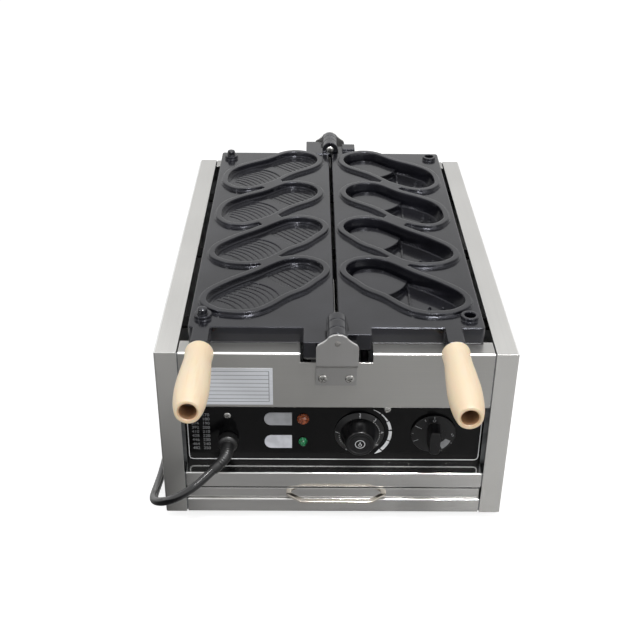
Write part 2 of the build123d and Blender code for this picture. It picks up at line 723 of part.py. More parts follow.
# Hinge brackets: joggled strips screwed to the casing, with a welded pin each.
def bracket(face_y, leaf_y, outwards):
    """A strip on the casing's face that steps out to a leaf with a peaked top."""
    half = BRACKET_W / 2
    leaf_low = AXIS_Z - BRACKET_LEAF_H
    step_low = leaf_low - 13.0
    bottom = BODY_H - BRACKET_DROP
    t = BRACKET_T * outwards
    side = Polyline(
        (face_y, bottom), (face_y + t, bottom), (face_y + t, step_low - 1), (leaf_y + t, leaf_low - 1),
        (leaf_y + t, AXIS_Z + 20), (leaf_y, AXIS_Z + 20), (leaf_y, leaf_low), (face_y, step_low), close=True,
    )
    strip = extrude(Plane.YZ * make_face(side), half, both=True)
    flank = [(half, bottom - 1), (half, AXIS_Z + BRACKET_SHOULDER)]
    flank += [(x, AXIS_Z + up) for x, up in BRACKET_PROFILE]
    mirrored_flank = [(-x, z) for x, z in reversed(flank)]
    top = Polyline(*flank, (0, AXIS_Z + BRACKET_PEAK), *mirrored_flank, close=True)
    outline = extrude(Plane.XZ * make_face(top), BODY_D * 2, both=True)
    return strip & outline


front_bracket = bracket(0, FRONT_LEAF, -1)
rear_bracket = bracket(BODY_D, REAR_LEAF, 1)
SCREW_Z = BODY_H - BRACKET_DROP + BRACKET_SCREW_UP
SCREW_SHANK_R = 2.0
screws = []
for y_face, out in ((0, -1), (BODY_D, 1)):
    for sx in (-1, 1):
        x = sx * BRACKET_SCREW_X
        y_head = y_face + out * BRACKET_T
        head = rod_y(x, SCREW_Z, BRACKET_SCREW_R, y_head, y_head + out * 2.2)
        shank = rod_y(x, SCREW_Z, SCREW_SHANK_R, y_face - out * 6, y_head)
        screws.append(head + shank)
shank_holes = [
    rod_y(sx * BRACKET_SCREW_X, SCREW_Z, SCREW_SHANK_R, -10, BODY_D + 10) for sx in (-1, 1)
]
front_bracket -= shank_holes
rear_bracket -= shank_holes
save("front_bracket", front_bracket)
save("rear_bracket", rear_bracket)
save("bracket_screws", *screws)
save("front_apron", apron - shank_holes)
save("rear_panel", rear_panel - shank_holes)
save("front_hinge_pin", rod_y(0, AXIS_Z, PIN_R, FRONT_LEAF, FRONT_KNUCKLES[0]))
save("rear_hinge_pin", rod_y(0, AXIS_Z, PIN_R, REAR_KNUCKLES[0], REAR_LEAF))


# Control panel, its glossy facing, and what is fixed to it.
GLAND_STEM_R = 6.0
GLAND_BACK = PANEL_BACK + 10
panel_openings = [
    rod_y(TEMP_X, KNOB_Z, SHAFT_R + 1, 0, 60),
    rod_y(TIMER_X, KNOB_Z, SHAFT_R + 1, 0, 60),
    rod_y(LAMP_X, WORK_LAMP_Z, WORK_LAMP_R - 1.2, 0, 60),
    rod_y(LAMP_X, POWER_LAMP_Z, POWER_LAMP_R - 1, 0, 60),
    rod_y(GLAND_X, GLAND_Z, GLAND_STEM_R, 0, 60),
]
panel_screw_places = [(GLAND_X, 114.9), (54.3, 123.6)]
PANEL_SCREW_R = 3.6
PANEL_SHANK_R = 1.6
panel_shanks = [rod_y(x, z, PANEL_SHANK_R, 0, 60) for x, z in panel_screw_places]
panel_top = SHIELD_TOP + SHEET
panel = block(-INNER_HALF + FIT, INNER_HALF - FIT, RECESS + OVERLAY_T, PANEL_BACK, RAIL_TOP, panel_top)
panel -= panel_openings + panel_shanks
save("control_panel", panel)
facing = block(-FRONT_HALF, FRONT_HALF, RECESS, RECESS + OVERLAY_T, RAIL_TOP, APRON_BOTTOM + SHEET)
facing -= panel_openings + panel_shanks
save("panel_facing", facing)
panel_screws = []
for x, z in panel_screw_places:
    head = rod_y(x, z, PANEL_SCREW_R, RECESS - 1.6, RECESS)
    shank = rod_y(x, z, PANEL_SHANK_R, RECESS, PANEL_BACK + 4)
    panel_screws.append(head + shank)
save("panel_screws", *panel_screws)


LAMP_BACK = RECESS + 14
BEZEL_T = 2.0
DOME_T = 4.0


def lamp(z, lens_r, body_r):
    dome = Pos(LAMP_X, RECESS - BEZEL_T - DOME_T / 2, z) * Rot(90, 0, 0) * Cone(lens_r, lens_r * 0.6, DOME_T)
    bezel = rod_y(LAMP_X, z, lens_r, RECESS, RECESS - BEZEL_T)
    body = rod_y(LAMP_X, z, body_r, RECESS, LAMP_BACK)
    return dome + bezel + body


save("work_lamp", lamp(WORK_LAMP_Z, WORK_LAMP_R, WORK_LAMP_R - 1.2))
save("power_lamp", lamp(POWER_LAMP_Z, POWER_LAMP_R, POWER_LAMP_R - 1))


# Knobs with their shafts, and the switches behind the panel.
skirt_back = RECESS - KNOB_GAP
temperature_knob = rod_y(TEMP_X, KNOB_Z, SKIRT_R, skirt_back, skirt_back - SKIRT_T)
temperature_knob = chamfer(
    temperature_knob.edges().filter_by(GeomType.CIRCLE).sort_by(Axis.Y)[0], SKIRT_T * 0.7, SKIRT_T * 1.6
)
cap = Rot(90, 0, 0) * Cone(CAP_R, CAP_FACE_R, CAP_DEPTH)
temperature_knob += Pos(TEMP_X, skirt_back - SKIRT_T - CAP_DEPTH / 2, KNOB_Z) * cap
temperature_knob -= rod_y(TEMP_X, KNOB_Z, SHAFT_R, 0, RECESS)
save("temperature_knob", temperature_knob)
save("temperature_shaft", rod_y(TEMP_X, KNOB_Z, SHAFT_R, 0, PANEL_BACK + 14))

timer_knob = rod_y(TIMER_X, KNOB_Z, TIMER_DISC_R, skirt_back, skirt_back - TIMER_DISC_T)
grip_root = Plane((TIMER_X, skirt_back - TIMER_DISC_T, KNOB_Z), x_dir=(1, 0, 0), z_dir=(0, -1, 0))
grip_low = grip_root.offset(-TIMER_DISC_T / 2) * RectangleRounded(GRIP_W, GRIP_L, GRIP_W * 0.45)
grip_high = grip_root.offset(GRIP_DEPTH) * RectangleRounded(GRIP_FACE_W, GRIP_FACE_L, GRIP_FACE_W * 0.45)
grip_wires = [grip_low.face().outer_wire(), grip_high.face().outer_wire()]
timer_knob += Solid.make_loft(grip_wires, True)
timer_knob -= rod_y(TIMER_X, KNOB_Z, SHAFT_R, 0, RECESS)
save("timer_knob", timer_knob)
save("timer_shaft", rod_y(TIMER_X, KNOB_Z, SHAFT_R, 0, PANEL_BACK + 14))

THERMOSTAT_W = 38.0
THERMOSTAT_L = 30.0
thermostat = block(
    TEMP_X - THERMOSTAT_W / 2, TEMP_X + THERMOSTAT_W / 2, PANEL_BACK, PANEL_BACK + THERMOSTAT_L,
    KNOB_Z - THERMOSTAT_W / 2, KNOB_Z + THERMOSTAT_W / 2,
)
thermostat -= rod_y(TEMP_X, KNOB_Z, SHAFT_R + SHAFT_CLEAR, 0, PANEL_BACK + 16)
save("thermostat_body", thermostat)
TIMER_BODY_R = 21.0
timer_body = rod_y(TIMER_X, KNOB_Z, TIMER_BODY_R, PANEL_BACK, PANEL_BACK + THERMOSTAT_L)
timer_body -= rod_y(TIMER_X, KNOB_Z, SHAFT_R + SHAFT_CLEAR, 0, PANEL_BACK + 16)
save("timer_body", timer_body)


# Heat shield between the control bay and the heater space.
shield_half = INNER_HALF - FIT
shield_top = SHIELD_TOP + SHEET
shield = block(-shield_half, shield_half, PANEL_BACK, SHIELD_REAR, SHIELD_TOP, shield_top)
shield += block(-shield_half, shield_half, SHIELD_REAR, SHIELD_REAR + SHEET, UPPER_RAIL_BOTTOM, shield_top)


HEATER_END_Y = PLATE_FRONT + 12
HEATER_END_Z = SHIELD_TOP - 12


# Heating elements: one bent tube under each plate, its two ends led down into the control bay.
def heater_path(side):
    xs = [side * (HEATER_INNER_X + i * HEATER_PITCH) for i in range(HEATER_RUNS)]
    near = PLATE_FRONT + HEATER_END_GAP
    far = PLATE_REAR - HEATER_END_GAP
    end_y = HEATER_END_Y
    points = [(xs[0], end_y, HEATER_END_Z), (xs[0], end_y, HEATER_Z)]
    radii = [12]
    for i in range(HEATER_RUNS):
        start, stop = (near, far) if i % 2 == 0 else (far, near)
        if i > 0:
            points.append((xs[i], start, HEATER_Z))
            radii.append(HEATER_PITCH / 2 - 0.5)
        if i < HEATER_RUNS - 1:
            points.append((xs[i], stop, HEATER_Z))
            radii.append(HEATER_PITCH / 2 - 0.5)
    points += [(xs[-1], end_y, HEATER_Z), (xs[-1], end_y, HEATER_END_Z)]
    radii.append(12)
    return points, radii


def bent_tube(points, radii, radius):
    """A round tube along straight runs joined by arcs."""
    path = FilletPolyline(*points, radius=radii)
    start = Plane(path @ 0, z_dir=path % 0)
    return sweep(start * Circle(radius), path=path)


heater_ends = []
for side, name in ((-1, "left_heater"), (1, "right_heater")):
    points, radii = heater_path(side)
    save(name, bent_tube(points, radii, HEATER_R))
    heater_ends += [points[0][0], points[-1][0]]
heater_ends.sort()
for x in heater_ends:
    shield -= rod_z(x, HEATER_END_Y, HEATER_R, SHIELD_TOP - 5, SHIELD_TOP + 5)

support_rows = (PLATE_FRONT + 70, (PLATE_FRONT + PLATE_REAR) / 2, PLATE_REAR - 70)
support_top = HEATER_Z - HEATER_R


def heater_support(y):
    half = INNER_HALF - FIT
    return block(-half, half, y - SUPPORT_W / 2, y + SUPPORT_W / 2, support_top - SUPPORT_T, support_top)


save("heater_supports", *[heater_support(y) for y in support_rows])

# Thermostat bulb on the front support, with its capillary down to the thermostat.
BULB_R = 3.0
BULB_L = 84.0
CAPILLARY_R = 1.0
bulb_z = support_top + BULB_R
bulb = rod_y(0, bulb_z, BULB_R, support_rows[0] - 6, support_rows[0] + BULB_L)
capillary_x = TEMP_X - 10
capillary_y = SHIELD_REAR - 20
capillary_points = [
    (0, support_rows[0] - 4, bulb_z),
    (0, SHIELD_REAR - 12, bulb_z),
    (capillary_x, capillary_y, SHIELD_TOP + 16),
    (capillary_x, capillary_y, KNOB_Z + THERMOSTAT_W / 2),
]
capillary = bent_tube(capillary_points, [8, 8], CAPILLARY_R)
shield -= rod_z(capillary_x, capillary_y, CAPILLARY_R + 1, SHIELD_TOP - 5, SHIELD_TOP + 5)
save("thermostat_bulb", bulb + capillary)
save("heat_shield", shield)

# Terminal block on the shield, and the wires of the control bay.
TERMINAL_X = -64.0
TERMINAL_Z = 66.0
TERMINAL_H = 18.0
TERMINAL_PITCH = 15.0
TERMINAL_WAYS = 4
terminal_w = TERMINAL_WAYS * TERMINAL_PITCH
terminal_front = SHIELD_REAR - TERMINAL_H
terminal_top = TERMINAL_Z + TERMINAL_H / 2
terminal = block(
    TERMINAL_X - terminal_w / 2,
    TERMINAL_X + terminal_w / 2,
    terminal_front,
    SHIELD_REAR,
    terminal_top - TERMINAL_H,
    terminal_top,
)
ways = [TERMINAL_X + (i - (TERMINAL_WAYS - 1) / 2) * TERMINAL_PITCH for i in range(TERMINAL_WAYS)]
terminal -= [rod_y(x, TERMINAL_Z, 2.6, terminal_front - 1, terminal_front + 5) for x in ways]
save("terminal_block", terminal)

WIRE_R = 1.3
WIRE_BEND = 4.0
LAMP_WIRE_BEND = 2.4
wire_y = terminal_front - 8
bay_y = PANEL_BACK + THERMOSTAT_L - 8
thermostat_left = TEMP_X - THERMOSTAT_W / 2
thermostat_right = TEMP_X + THERMOSTAT_W / 2
timer_left = TIMER_X - TIMER_BODY_R
low_way = TERMINAL_Z - 5.5
lead = [
    (GLAND_X, GLAND_BACK, GLAND_Z),
    (GLAND_X, wire_y, GLAND_Z),
    (ways[0], wire_y, low_way),
    (ways[0], terminal_front, low_way),
]
to_thermostat = [
    (ways[1], terminal_front, low_way),
    (ways[1], wire_y, low_way),
    (thermostat_left - 12, wire_y, KNOB_Z - 8),
    (thermostat_left, wire_y, KNOB_Z - 8),
]
to_timer = [
    (thermostat_right, bay_y, KNOB_Z),
    (thermostat_right + 9, bay_y, KNOB_Z),
    ((thermostat_right + timer_left) / 2, bay_y, KNOB_Z + 6),
    (timer_left - 9, bay_y, KNOB_Z),
    (timer_left, bay_y, KNOB_Z),
]
to_power_lamp = [
    (ways[2], terminal_front, low_way),
    (ways[2], wire_y, low_way),
    (LAMP_X, wire_y, POWER_LAMP_Z),
    (LAMP_X, LAMP_BACK, POWER_LAMP_Z),
]
to_work_lamp = [
    (thermostat_left, wire_y, KNOB_Z + 10),
    (thermostat_left - 12, wire_y, KNOB_Z + 10),
    (LAMP_X, wire_y, WORK_LAMP_Z),
    (LAMP_X, LAMP_BACK, WORK_LAMP_Z),
]
wires = [
    bent_tube(lead, WIRE_BEND, WIRE_R),
    bent_tube(to_thermostat, WIRE_BEND, WIRE_R),
    bent_tube(to_timer, WIRE_BEND, WIRE_R),
    bent_tube(to_power_lamp, LAMP_WIRE_BEND, WIRE_R),
    bent_tube(to_work_lamp, LAMP_WIRE_BEND, WIRE_R),
]
wire_back = (terminal_front + SHIELD_REAR) / 2
wire_levels = (119.0, 127.0, 123.0, 119.0)
for way, end_x, level in zip(ways, heater_ends, wire_levels):
    route = [
        (way, wire_back, terminal_top),
        (way, wire_back, level),
        (end_x, wire_back, level),
        (end_x, HEATER_END_Y, level),
        (end_x, HEATER_END_Y, HEATER_END_Z),
    ]
    wires.append(bent_tube(route, WIRE_BEND, WIRE_R))
save("control_wires", *wires)


# Blank rating plate on the apron.
PLATE_LABEL = (-144.0, -63.2, 141.3, 185.2)
label_x0, label_x1, label_z0, label_z1 = PLATE_LABEL
save("rating_plate", block(label_x0, label_x1, -0.3, 0, label_z0, label_z1))


# Crumb drawer: tray, folded front and a bent bail.
drawer_low = LOWER_RAIL_H + FIT + SHEET
tray_half = FRONT_HALF - TRAY_SIDE_GAP
tray_y0 = DRAWER_SETBACK + SHEET
tray_y1 = BODY_D - TRAY_REAR_GAP
tray_top = drawer_low + TRAY_H
tray = block(-tray_half, tray_half, tray_y0, tray_y1, drawer_low, tray_top)
tray_in = tray_half - TRAY_SHEET
tray_floor = drawer_low + TRAY_SHEET
tray -= block(-tray_in, tray_in, tray_y0 + TRAY_SHEET, tray_y1 - TRAY_SHEET, tray_floor, tray_top + 1)
front_low = LOWER_RAIL_H + 0.5
front_half = FRONT_HALF - FIT
front_top = tray_top + DRAWER_FRONT_GAP
drawer_front = block(-front_half, front_half, DRAWER_SETBACK, tray_y0, front_low, front_top)
drawer_front += block(-front_half, front_half, DRAWER_SETBACK, tray_y0 + 4, front_top, front_top + SHEET)

pull_z = front_low + PULL_UP
root_y = DRAWER_SETBACK
RIVET_R = 1.4
pull_holes = [
    rod_y(PULL_OFF_CENTRE + sx * PULL_ROOT_HALF, pull_z, RIVET_R, root_y, root_y + 9) for sx in (-1, 1)
]
save("crumb_tray", tray - pull_holes)
save("drawer_front", drawer_front - pull_holes)
grip_centre_y = -PULL_REACH + PULL_BAR_W / 2
pull_path = FilletPolyline(
    (PULL_OFF_CENTRE - PULL_ROOT_HALF, root_y, pull_z),
    (PULL_OFF_CENTRE - PULL_ROOT_HALF, root_y - 3.4, pull_z),
    (PULL_OFF_CENTRE - PULL_GRIP_HALF, grip_centre_y, pull_z),
    (PULL_OFF_CENTRE + PULL_GRIP_HALF, grip_centre_y, pull_z),
    (PULL_OFF_CENTRE + PULL_ROOT_HALF, root_y - 3.4, pull_z),
    (PULL_OFF_CENTRE + PULL_ROOT_HALF, root_y, pull_z),
    radius=[3.0, 8.0, 8.0, 3.0],
)
pull_start = Plane(pull_path @ 0, x_dir=(1, 0, 0), z_dir=(0, -1, 0))
pull_section = pull_start * RectangleRounded(PULL_BAR_W, PULL_BAR_H, 1.2)
save("drawer_pull", sweep(pull_section, path=pull_path))
rivet_y = tray_y0 + TRAY_SHEET
pull_rivets = []
for sx in (-1, 1):
    x = PULL_OFF_CENTRE + sx * PULL_ROOT_HALF
    shank = rod_y(x, pull_z, RIVET_R, root_y, rivet_y)
    pull_rivets.append(shank + rod_y(x, pull_z, 2 * RIVET_R, rivet_y, rivet_y + 1.2))
save("pull_rivets", *pull_rivets)


# Drawer runners on the side panels.
def runner():
    x0 = -INNER_HALF + FIT
    y1 = tray_y1 + 12
    top = drawer_low - FIT
    shelf = block(x0, x0 + RUNNER_SHELF, PLATE_FRONT, y1, top - SHEET, top)
    web = block(x0, x0 + SHEET, PLATE_FRONT, y1, top - SHEET, UPPER_RAIL_BOTTOM)
    return shelf + web


save("drawer_runners", runner(), mirrored_x(runner()))


# Power cord: points chosen by hand, from the sleeve's end round the left front corner, along the left
# wall and past the rear corner, lying on the surface from the corner on.
LYING = FLOOR_Z + CORD_R
CORD_ROUTE = [
    (-124.5, -20.0, 73.0),
    (-136.5, -26.0, 63.0),
    (-149.5, -29.5, 53.0),
    (-163.5, -28.5, 42.5),
    (-177.0, -22.0, 32.0),
    (-187.5, -10.5, 22.0),
    (-193.8, 5.0, 12.0),
    (-195.5, 24.0, 4.0),
    (-195.0, 48.0, -2.5),
    (-193.5, 76.0, LYING),
    (-192.0, 120.0, LYING),
    (-191.5, 180.0, LYING),
    (-191.5, 240.0, LYING),
    (-190.5, 302.0, LYING),
    (-191.0, 364.0, LYING),
    (-192.0, 424.0, LYING),
    (-192.3, 480.0, LYING),
    (-191.0, 526.0, LYING),
    (-187.5, 560.0, LYING),
]


def arc_radii(points):
    """The largest arc that the runs on both sides of each point allow."""
    radii = []
    for a, b, c in zip(points, points[1:], points[2:]):
        before = Vector(*b) - Vector(*a)
        after = Vector(*c) - Vector(*b)
        half_turn = math.radians(before.get_angle(after)) / 2
        radii.append(0.45 * min(before.length, after.length) / math.tan(half_turn))
    return radii


cord_radii = arc_radii(CORD_ROUTE)
power_cord = bent_tube(CORD_ROUTE, cord_radii, CORD_R)
cord_length = FilletPolyline(*CORD_ROUTE, radius=cord_radii).length
print("cord radii", [round(r) for r in cord_radii])
print("cord length", round(cord_length))
print("cord volume over section", round(power_cord.volume / (math.pi * CORD_R**2)))
save("power_cord", power_cord)


# Strain relief: a gland nut on the panel and a rubber sleeve that droops to where the cord leaves it.
first_run = Vector(*CORD_ROUTE[1]) - Vector(*CORD_ROUTE[0])
gland_front = RECESS - GLAND_L
sleeve_corner = Vector(*CORD_ROUTE[0]) + first_run * ((GLAND_X - CORD_ROUTE[0][0]) / first_run.X)
sleeve_points = [
    (GLAND_X, gland_front + 1, GLAND_Z),
    (GLAND_X, sleeve_corner.Y, GLAND_Z),
    CORD_ROUTE[0],
]
sleeve = bent_tube(sleeve_points, SLEEVE_BEND, CORD_R + SLEEVE_WALL)
gland = rod_y(GLAND_X, GLAND_Z, GLAND_R, RECESS, gland_front)
gland = fillet(gland.edges().filter_by(GeomType.CIRCLE).sort_by(Axis.Y)[0], GLAND_R / 5)
gland += rod_y(GLAND_X, GLAND_Z, GLAND_STEM_R, RECESS, GLAND_BACK)
gland += rod_y(GLAND_X, GLAND_Z, GLAND_R, PANEL_BACK, PANEL_BACK + 5)
save("strain_relief", gland + sleeve)


# Coil of the spare cord: spirals in on the surface, climbs in the reversing half turn, spirals out on top.
COIL_TURNS = 2.25
REVERSE_TURN = 1.25
COIL_TAIL = 46.0
coil_rise = COIL_PITCH
coil_outer = COIL_INNER_R + COIL_PITCH * REVERSE_TURN
entry = (Vector(*CORD_ROUTE[-1]) - Vector(*CORD_ROUTE[-2])).normalized()
coil_start = Vector(*CORD_ROUTE[-1]) + entry * (2 * CORD_R)
inward = math.atan2(COIL_PITCH, 2 * math.pi * coil_outer)
first_angle = math.atan2(entry.Y, entry.X) + math.pi / 2 + inward
coil_centre = coil_start - Vector(math.cos(first_angle), math.sin(first_angle), 0) * coil_outer


def coil_point(turn):
    """A point of the coil's centre line, turning clockwise from above."""
    radius = COIL_INNER_R + COIL_PITCH * abs(turn - REVERSE_TURN)
    climbed = min(max((turn - REVERSE_TURN + 0.25) * 2, 0), 1)
    rise = coil_rise * climbed * climbed * (3 - 2 * climbed)
    angle = first_angle - 2 * math.pi * turn
    return coil_centre + Vector(radius * math.cos(angle), radius * math.sin(angle), rise)


def coil_heading(turn):
    """The centre line's direction: the slope of coil_point's formula."""
    outwards = COIL_PITCH * ((turn > REVERSE_TURN) - (turn < REVERSE_TURN))
    radius = COIL_INNER_R + COIL_PITCH * abs(turn - REVERSE_TURN)
    climbed = min(max((turn - REVERSE_TURN + 0.25) * 2, 0), 1)
    climb = coil_rise * 12 * climbed * (1 - climbed)
    angle = first_angle - 2 * math.pi * turn
    round_way = 2 * math.pi * radius
    return Vector(
        outwards * math.cos(angle) + round_way * math.sin(angle),
        outwards * math.sin(angle) - round_way * math.cos(angle),
        climb,
    ).normalized()


def biarc(p1, t1, p2, t2):
    """Two tangent arcs from p1 along t1 to p2 along t2."""
    v = p2 - p1
    t = t1 + t2
    spread = 2 * (1 - t1.dot(t2))
    d = (math.sqrt(v.dot(t) ** 2 + spread * v.dot(v)) - v.dot(t)) / spread
    middle = ((p1 + t1 * d) + (p2 - t2 * d)) * 0.5
    first = TangentArc(p1, middle, tangent=t1)
    second = TangentArc(middle, p2, tangent=first % 1)
    return [first, second]


coil_steps = round(COIL_TURNS * 4)
coil_edges = [Line(Vector(*CORD_ROUTE[-1]), coil_start)]
for i in range(coil_steps):
    a = i / 4
    b = (i + 1) / 4
    coil_edges += biarc(coil_point(a), coil_heading(a), coil_point(b), coil_heading(b))
coil_end = coil_point(COIL_TURNS)
exit_way = coil_heading(COIL_TURNS)
plug_start = coil_end + exit_way * COIL_TAIL
coil_edges.append(Line(coil_end, plug_start))
coil_path = Wire([e.edge() for e in coil_edges])
coil_section = Plane(coil_path @ 0, z_dir=coil_path % 0) * Circle(CORD_R)
cord_coil = sweep(coil_section, path=coil_path)
samples = [coil_path.position_at(i / 600) for i in range(601)]
apart = coil_path.length / 600
gaps = [
    (samples[i] - samples[j]).length - 2 * CORD_R
    for i in range(len(samples))
    for j in range(i + 1, len(samples))
    if (j - i) * apart > 4 * math.pi * CORD_R
]
print("coil least gap", round(min(gaps), 2), "length", round(coil_path.length))
print("coil volume over section", round(cord_coil.volume / (math.pi * CORD_R**2)))
print("whole cord", round(cord_length + coil_path.length))
save("cord_coil", cord_coil)


# Plug: a round body that lies on the surface, with two blades and an earth pin.
PLUG_NECK_R = 7.0
PLUG_NECK_L = 14.0
plug_r = plug_start.Z - FLOOR_Z
plug_frame = Plane(plug_start, x_dir=(exit_way.Y, -exit_way.X, 0), z_dir=exit_way)
plug_profile = Polyline(
    (0, 0),
    (PLUG_NECK_R, 0),
    (PLUG_NECK_R + 1, PLUG_NECK_L),
    (plug_r, PLUG_NECK_L + 8),
    (plug_r, PLUG_L),
    (0, PLUG_L),
    close=True,
)
plug = revolve(Plane.XZ * make_face(plug_profile), Axis.Z)
save("plug_body", plug_frame * plug)
BLADE = (1.5, 6.3, 17.0)
BLADE_SPREAD = 6.35
EARTH_R = 2.4
blades = [Pos(side * BLADE_SPREAD, 2, PLUG_L + BLADE[2] / 2) * Box(*BLADE) for side in (-1, 1)]
earth = Pos(0, -8, PLUG_L + 10) * Cylinder(EARTH_R, 20)
save("plug_pins", *[plug_frame * pin for pin in blades + [earth]])

print("frame: y shift", round(-MID_Y, 3), "axis height", round(AXIS_Z + FOOT_H, 3))
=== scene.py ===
import math

import bmesh
import bpy
import numpy as np
from mathutils import Matrix, Vector


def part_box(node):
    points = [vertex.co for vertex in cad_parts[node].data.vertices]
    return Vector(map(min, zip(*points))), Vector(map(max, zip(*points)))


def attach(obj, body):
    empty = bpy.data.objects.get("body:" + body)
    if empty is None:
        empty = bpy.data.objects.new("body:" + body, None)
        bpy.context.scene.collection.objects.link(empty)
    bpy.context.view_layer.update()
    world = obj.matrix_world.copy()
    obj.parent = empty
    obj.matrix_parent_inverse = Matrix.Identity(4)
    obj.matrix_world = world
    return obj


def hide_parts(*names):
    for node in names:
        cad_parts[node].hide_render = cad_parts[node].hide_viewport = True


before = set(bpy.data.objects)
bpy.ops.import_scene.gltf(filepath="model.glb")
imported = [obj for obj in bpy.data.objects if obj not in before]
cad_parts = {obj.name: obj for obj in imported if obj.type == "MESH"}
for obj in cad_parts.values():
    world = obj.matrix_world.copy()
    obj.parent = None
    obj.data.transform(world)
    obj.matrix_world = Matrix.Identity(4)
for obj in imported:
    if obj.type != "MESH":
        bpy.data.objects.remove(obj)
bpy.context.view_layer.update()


# Stand-point of the photograph: a long lens ahead of the casing, a little to its left, looking down on
# the open plates. Places are in metres from the casing's lower front edge, on the hinge's middle plane.
casing_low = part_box("left_side_panel")[0]
CASING_ORIGIN = Vector((0.0, casing_low.y, casing_low.z))
LENS_MM = 57.49
SENSOR_MM = 36.0
CAMERA_PLACE = (-0.02759, -0.84186, 0.74411)
LOOK_DOWN = math.radians(30.861)
LOOK_LEFT = math.radians(-0.726)
CAMERA_ROLL = math.radians(0.731)


def in_frame(x, y, z):
    """A place in the casing's axes as a place in the frame's axes."""
    return CASING_ORIGIN + Vector((x, y, z))


def linked(name, data):
    """An object in the scene that shows the data."""
    made = bpy.data.objects.new(name, data)
    bpy.context.scene.collection.objects.link(made)
    return made


def camera_axes():
    """The camera's own axes: turned about Z, tipped down, then rolled about its line of sight."""
    level = Vector((math.cos(LOOK_LEFT), math.sin(LOOK_LEFT), 0))
    flat = math.cos(LOOK_DOWN)
    ahead = Vector((-math.sin(LOOK_LEFT) * flat, math.cos(LOOK_LEFT) * flat, -math.sin(LOOK_DOWN)))
    upward = level.cross(ahead)
    right = level * math.cos(CAMERA_ROLL) + upward * math.sin(CAMERA_ROLL)
    top = upward * math.cos(CAMERA_ROLL) - level * math.sin(CAMERA_ROLL)
    return right, top, -ahead


lens = bpy.data.cameras.new("camera")
lens.lens = LENS_MM
lens.sensor_width = SENSOR_MM
camera = linked("camera", lens)
turn = Matrix(camera_axes()).transposed().to_4x4()
camera.matrix_world = Matrix.Translation(in_frame(*CAMERA_PLACE)) @ turn
bpy.context.scene.camera = camera
bpy.context.scene.view_settings.view_transform = "Standard"


# Finishes are worked out as sums of sockets. A recipe is a function that returns what the one Principled
# shader of a finish gets.
class Socket:
    """One output of a material's nodes. Arithmetic on it adds Math nodes."""

    def __init__(self, tree, plug=None):
        self.tree = tree
        self.plug = plug

    def node(self, kind, inputs=None, output=0, **settings):
        """Adds a node, with its settings first and then its sockets' values or links."""
        made = self.tree.nodes.new(kind)
        for name, value in settings.items():
            setattr(made, name, value)
        for name, value in (inputs or {}).items():
            if isinstance(value, Socket):
                self.tree.links.new(value.plug, made.inputs[name])
            else:
                made.inputs[name].default_value = value
        return Socket(self.tree, made.outputs[output] if made.outputs else None)

    def math(self, operation, *values):
        return self.node("ShaderNodeMath", dict(enumerate(values)), operation=operation)

    def vector_math(self, operation, *values, output=0):
        return self.node("ShaderNodeVectorMath", dict(enumerate(values)), output, operation=operation)

    def ray(self, kind):
        """1 for rays of one kind, and 0 for others."""
        return self.node("ShaderNodeLightPath", output=f"Is {kind} Ray")

    def __add__(self, other):
        return self.math("ADD", self, other)

    def __sub__(self, other):
        return self.math("SUBTRACT", self, other)

    def __rsub__(self, other):
        return self.math("SUBTRACT", other, self)

    def __mul__(self, other):
        return self.math("MULTIPLY", self, other)

    __radd__ = __add__
    __rmul__ = __mul__

    def between(self, low, high):
        """0 up to low, 1 from high on, and a smooth rise between them."""
        limits = {"Value": self, "From Min": low, "From Max": high}
        return self.node("ShaderNodeMapRange", limits, interpolation_type="SMOOTHSTEP")

    def mix(self, low, high):
        """Colour low where this is 0 and colour high where it is 1: the Mix node's sockets 6 and 7."""
        return self.node("ShaderNodeMix", {0: self, 6: low, 7: high}, 2, data_type="RGBA")

    def place(self, scale=(1, 1, 1)):
        """Object coordinates, in metres, times a scale along each axis."""
        here = self.node("ShaderNodeTexCoord", output="Object")
        return self.node("ShaderNodeMapping", {"Vector": here, "Scale": scale})

    def noise(self, scale, detail=2.0, roughness=0.5, stretch=(1, 1, 1)):
        """Noise around 0.5, with scale lumps to the metre."""
        inputs = {"Vector": self.place(stretch), "Scale": scale, "Detail": detail, "Roughness": roughness}
        return self.node("ShaderNodeTexNoise", inputs)

    def axis(self, name):
        """One object coordinate in metres."""
        return self.node("ShaderNodeSeparateXYZ", {0: self.place()}, name)

    def bevel(self, radius, samples=4):
        """Normals rounded over sharp edges."""
        return self.node("ShaderNodeBevel", {"Radius": radius}, samples=samples)

    def rounded(self, radius, height, distance, samples=4):
        """Rounded normals with a bump on them, height times distance high."""
        inputs = {"Height": height, "Distance": distance, "Normal": self.bevel(radius, samples)}
        return self.node("ShaderNodeBump", inputs)

    def edge(self, radius):
        """0 on flat faces and up to 1 beside sharp edges, where the rounded normal leaves the true one."""
        flat = self.node("ShaderNodeNewGeometry", output="True Normal")
        along = self.vector_math("DOT_PRODUCT", self.bevel(radius), flat, output="Value")
        return 1 - along.between(0.7, 0.98)


def tone(red, green, blue):
    """A colour as it is seen, from 0 to 255, as the linear colour that a shader takes."""
    seen = np.array((red, green, blue)) / 255
    linear = np.where(seen < 0.04045, seen / 12.92, ((seen + 0.055) / 1.055) ** 2.4)
    return (*linear.tolist(), 1.0)


def shade(colour, factor):
    """A colour made darker or lighter by a factor."""
    return tuple(c * factor for c in colour[:3]) + (1.0,)


def cleared(owner):
    """The start of the emptied nodes of a material or a world."""
    owner.use_nodes = True
    owner.node_tree.nodes.clear()
    return Socket(owner.node_tree)


def finish(name, recipe, *values, **named):
    """A material whose Principled shader gets what the recipe makes of the values."""
    material = bpy.data.materials.new(name)
    start = cleared(material)
    shader = start.node("ShaderNodeBsdfPrincipled", recipe(start, *values, **named))
    start.node("ShaderNodeOutputMaterial", {"Surface": shader})
    return material


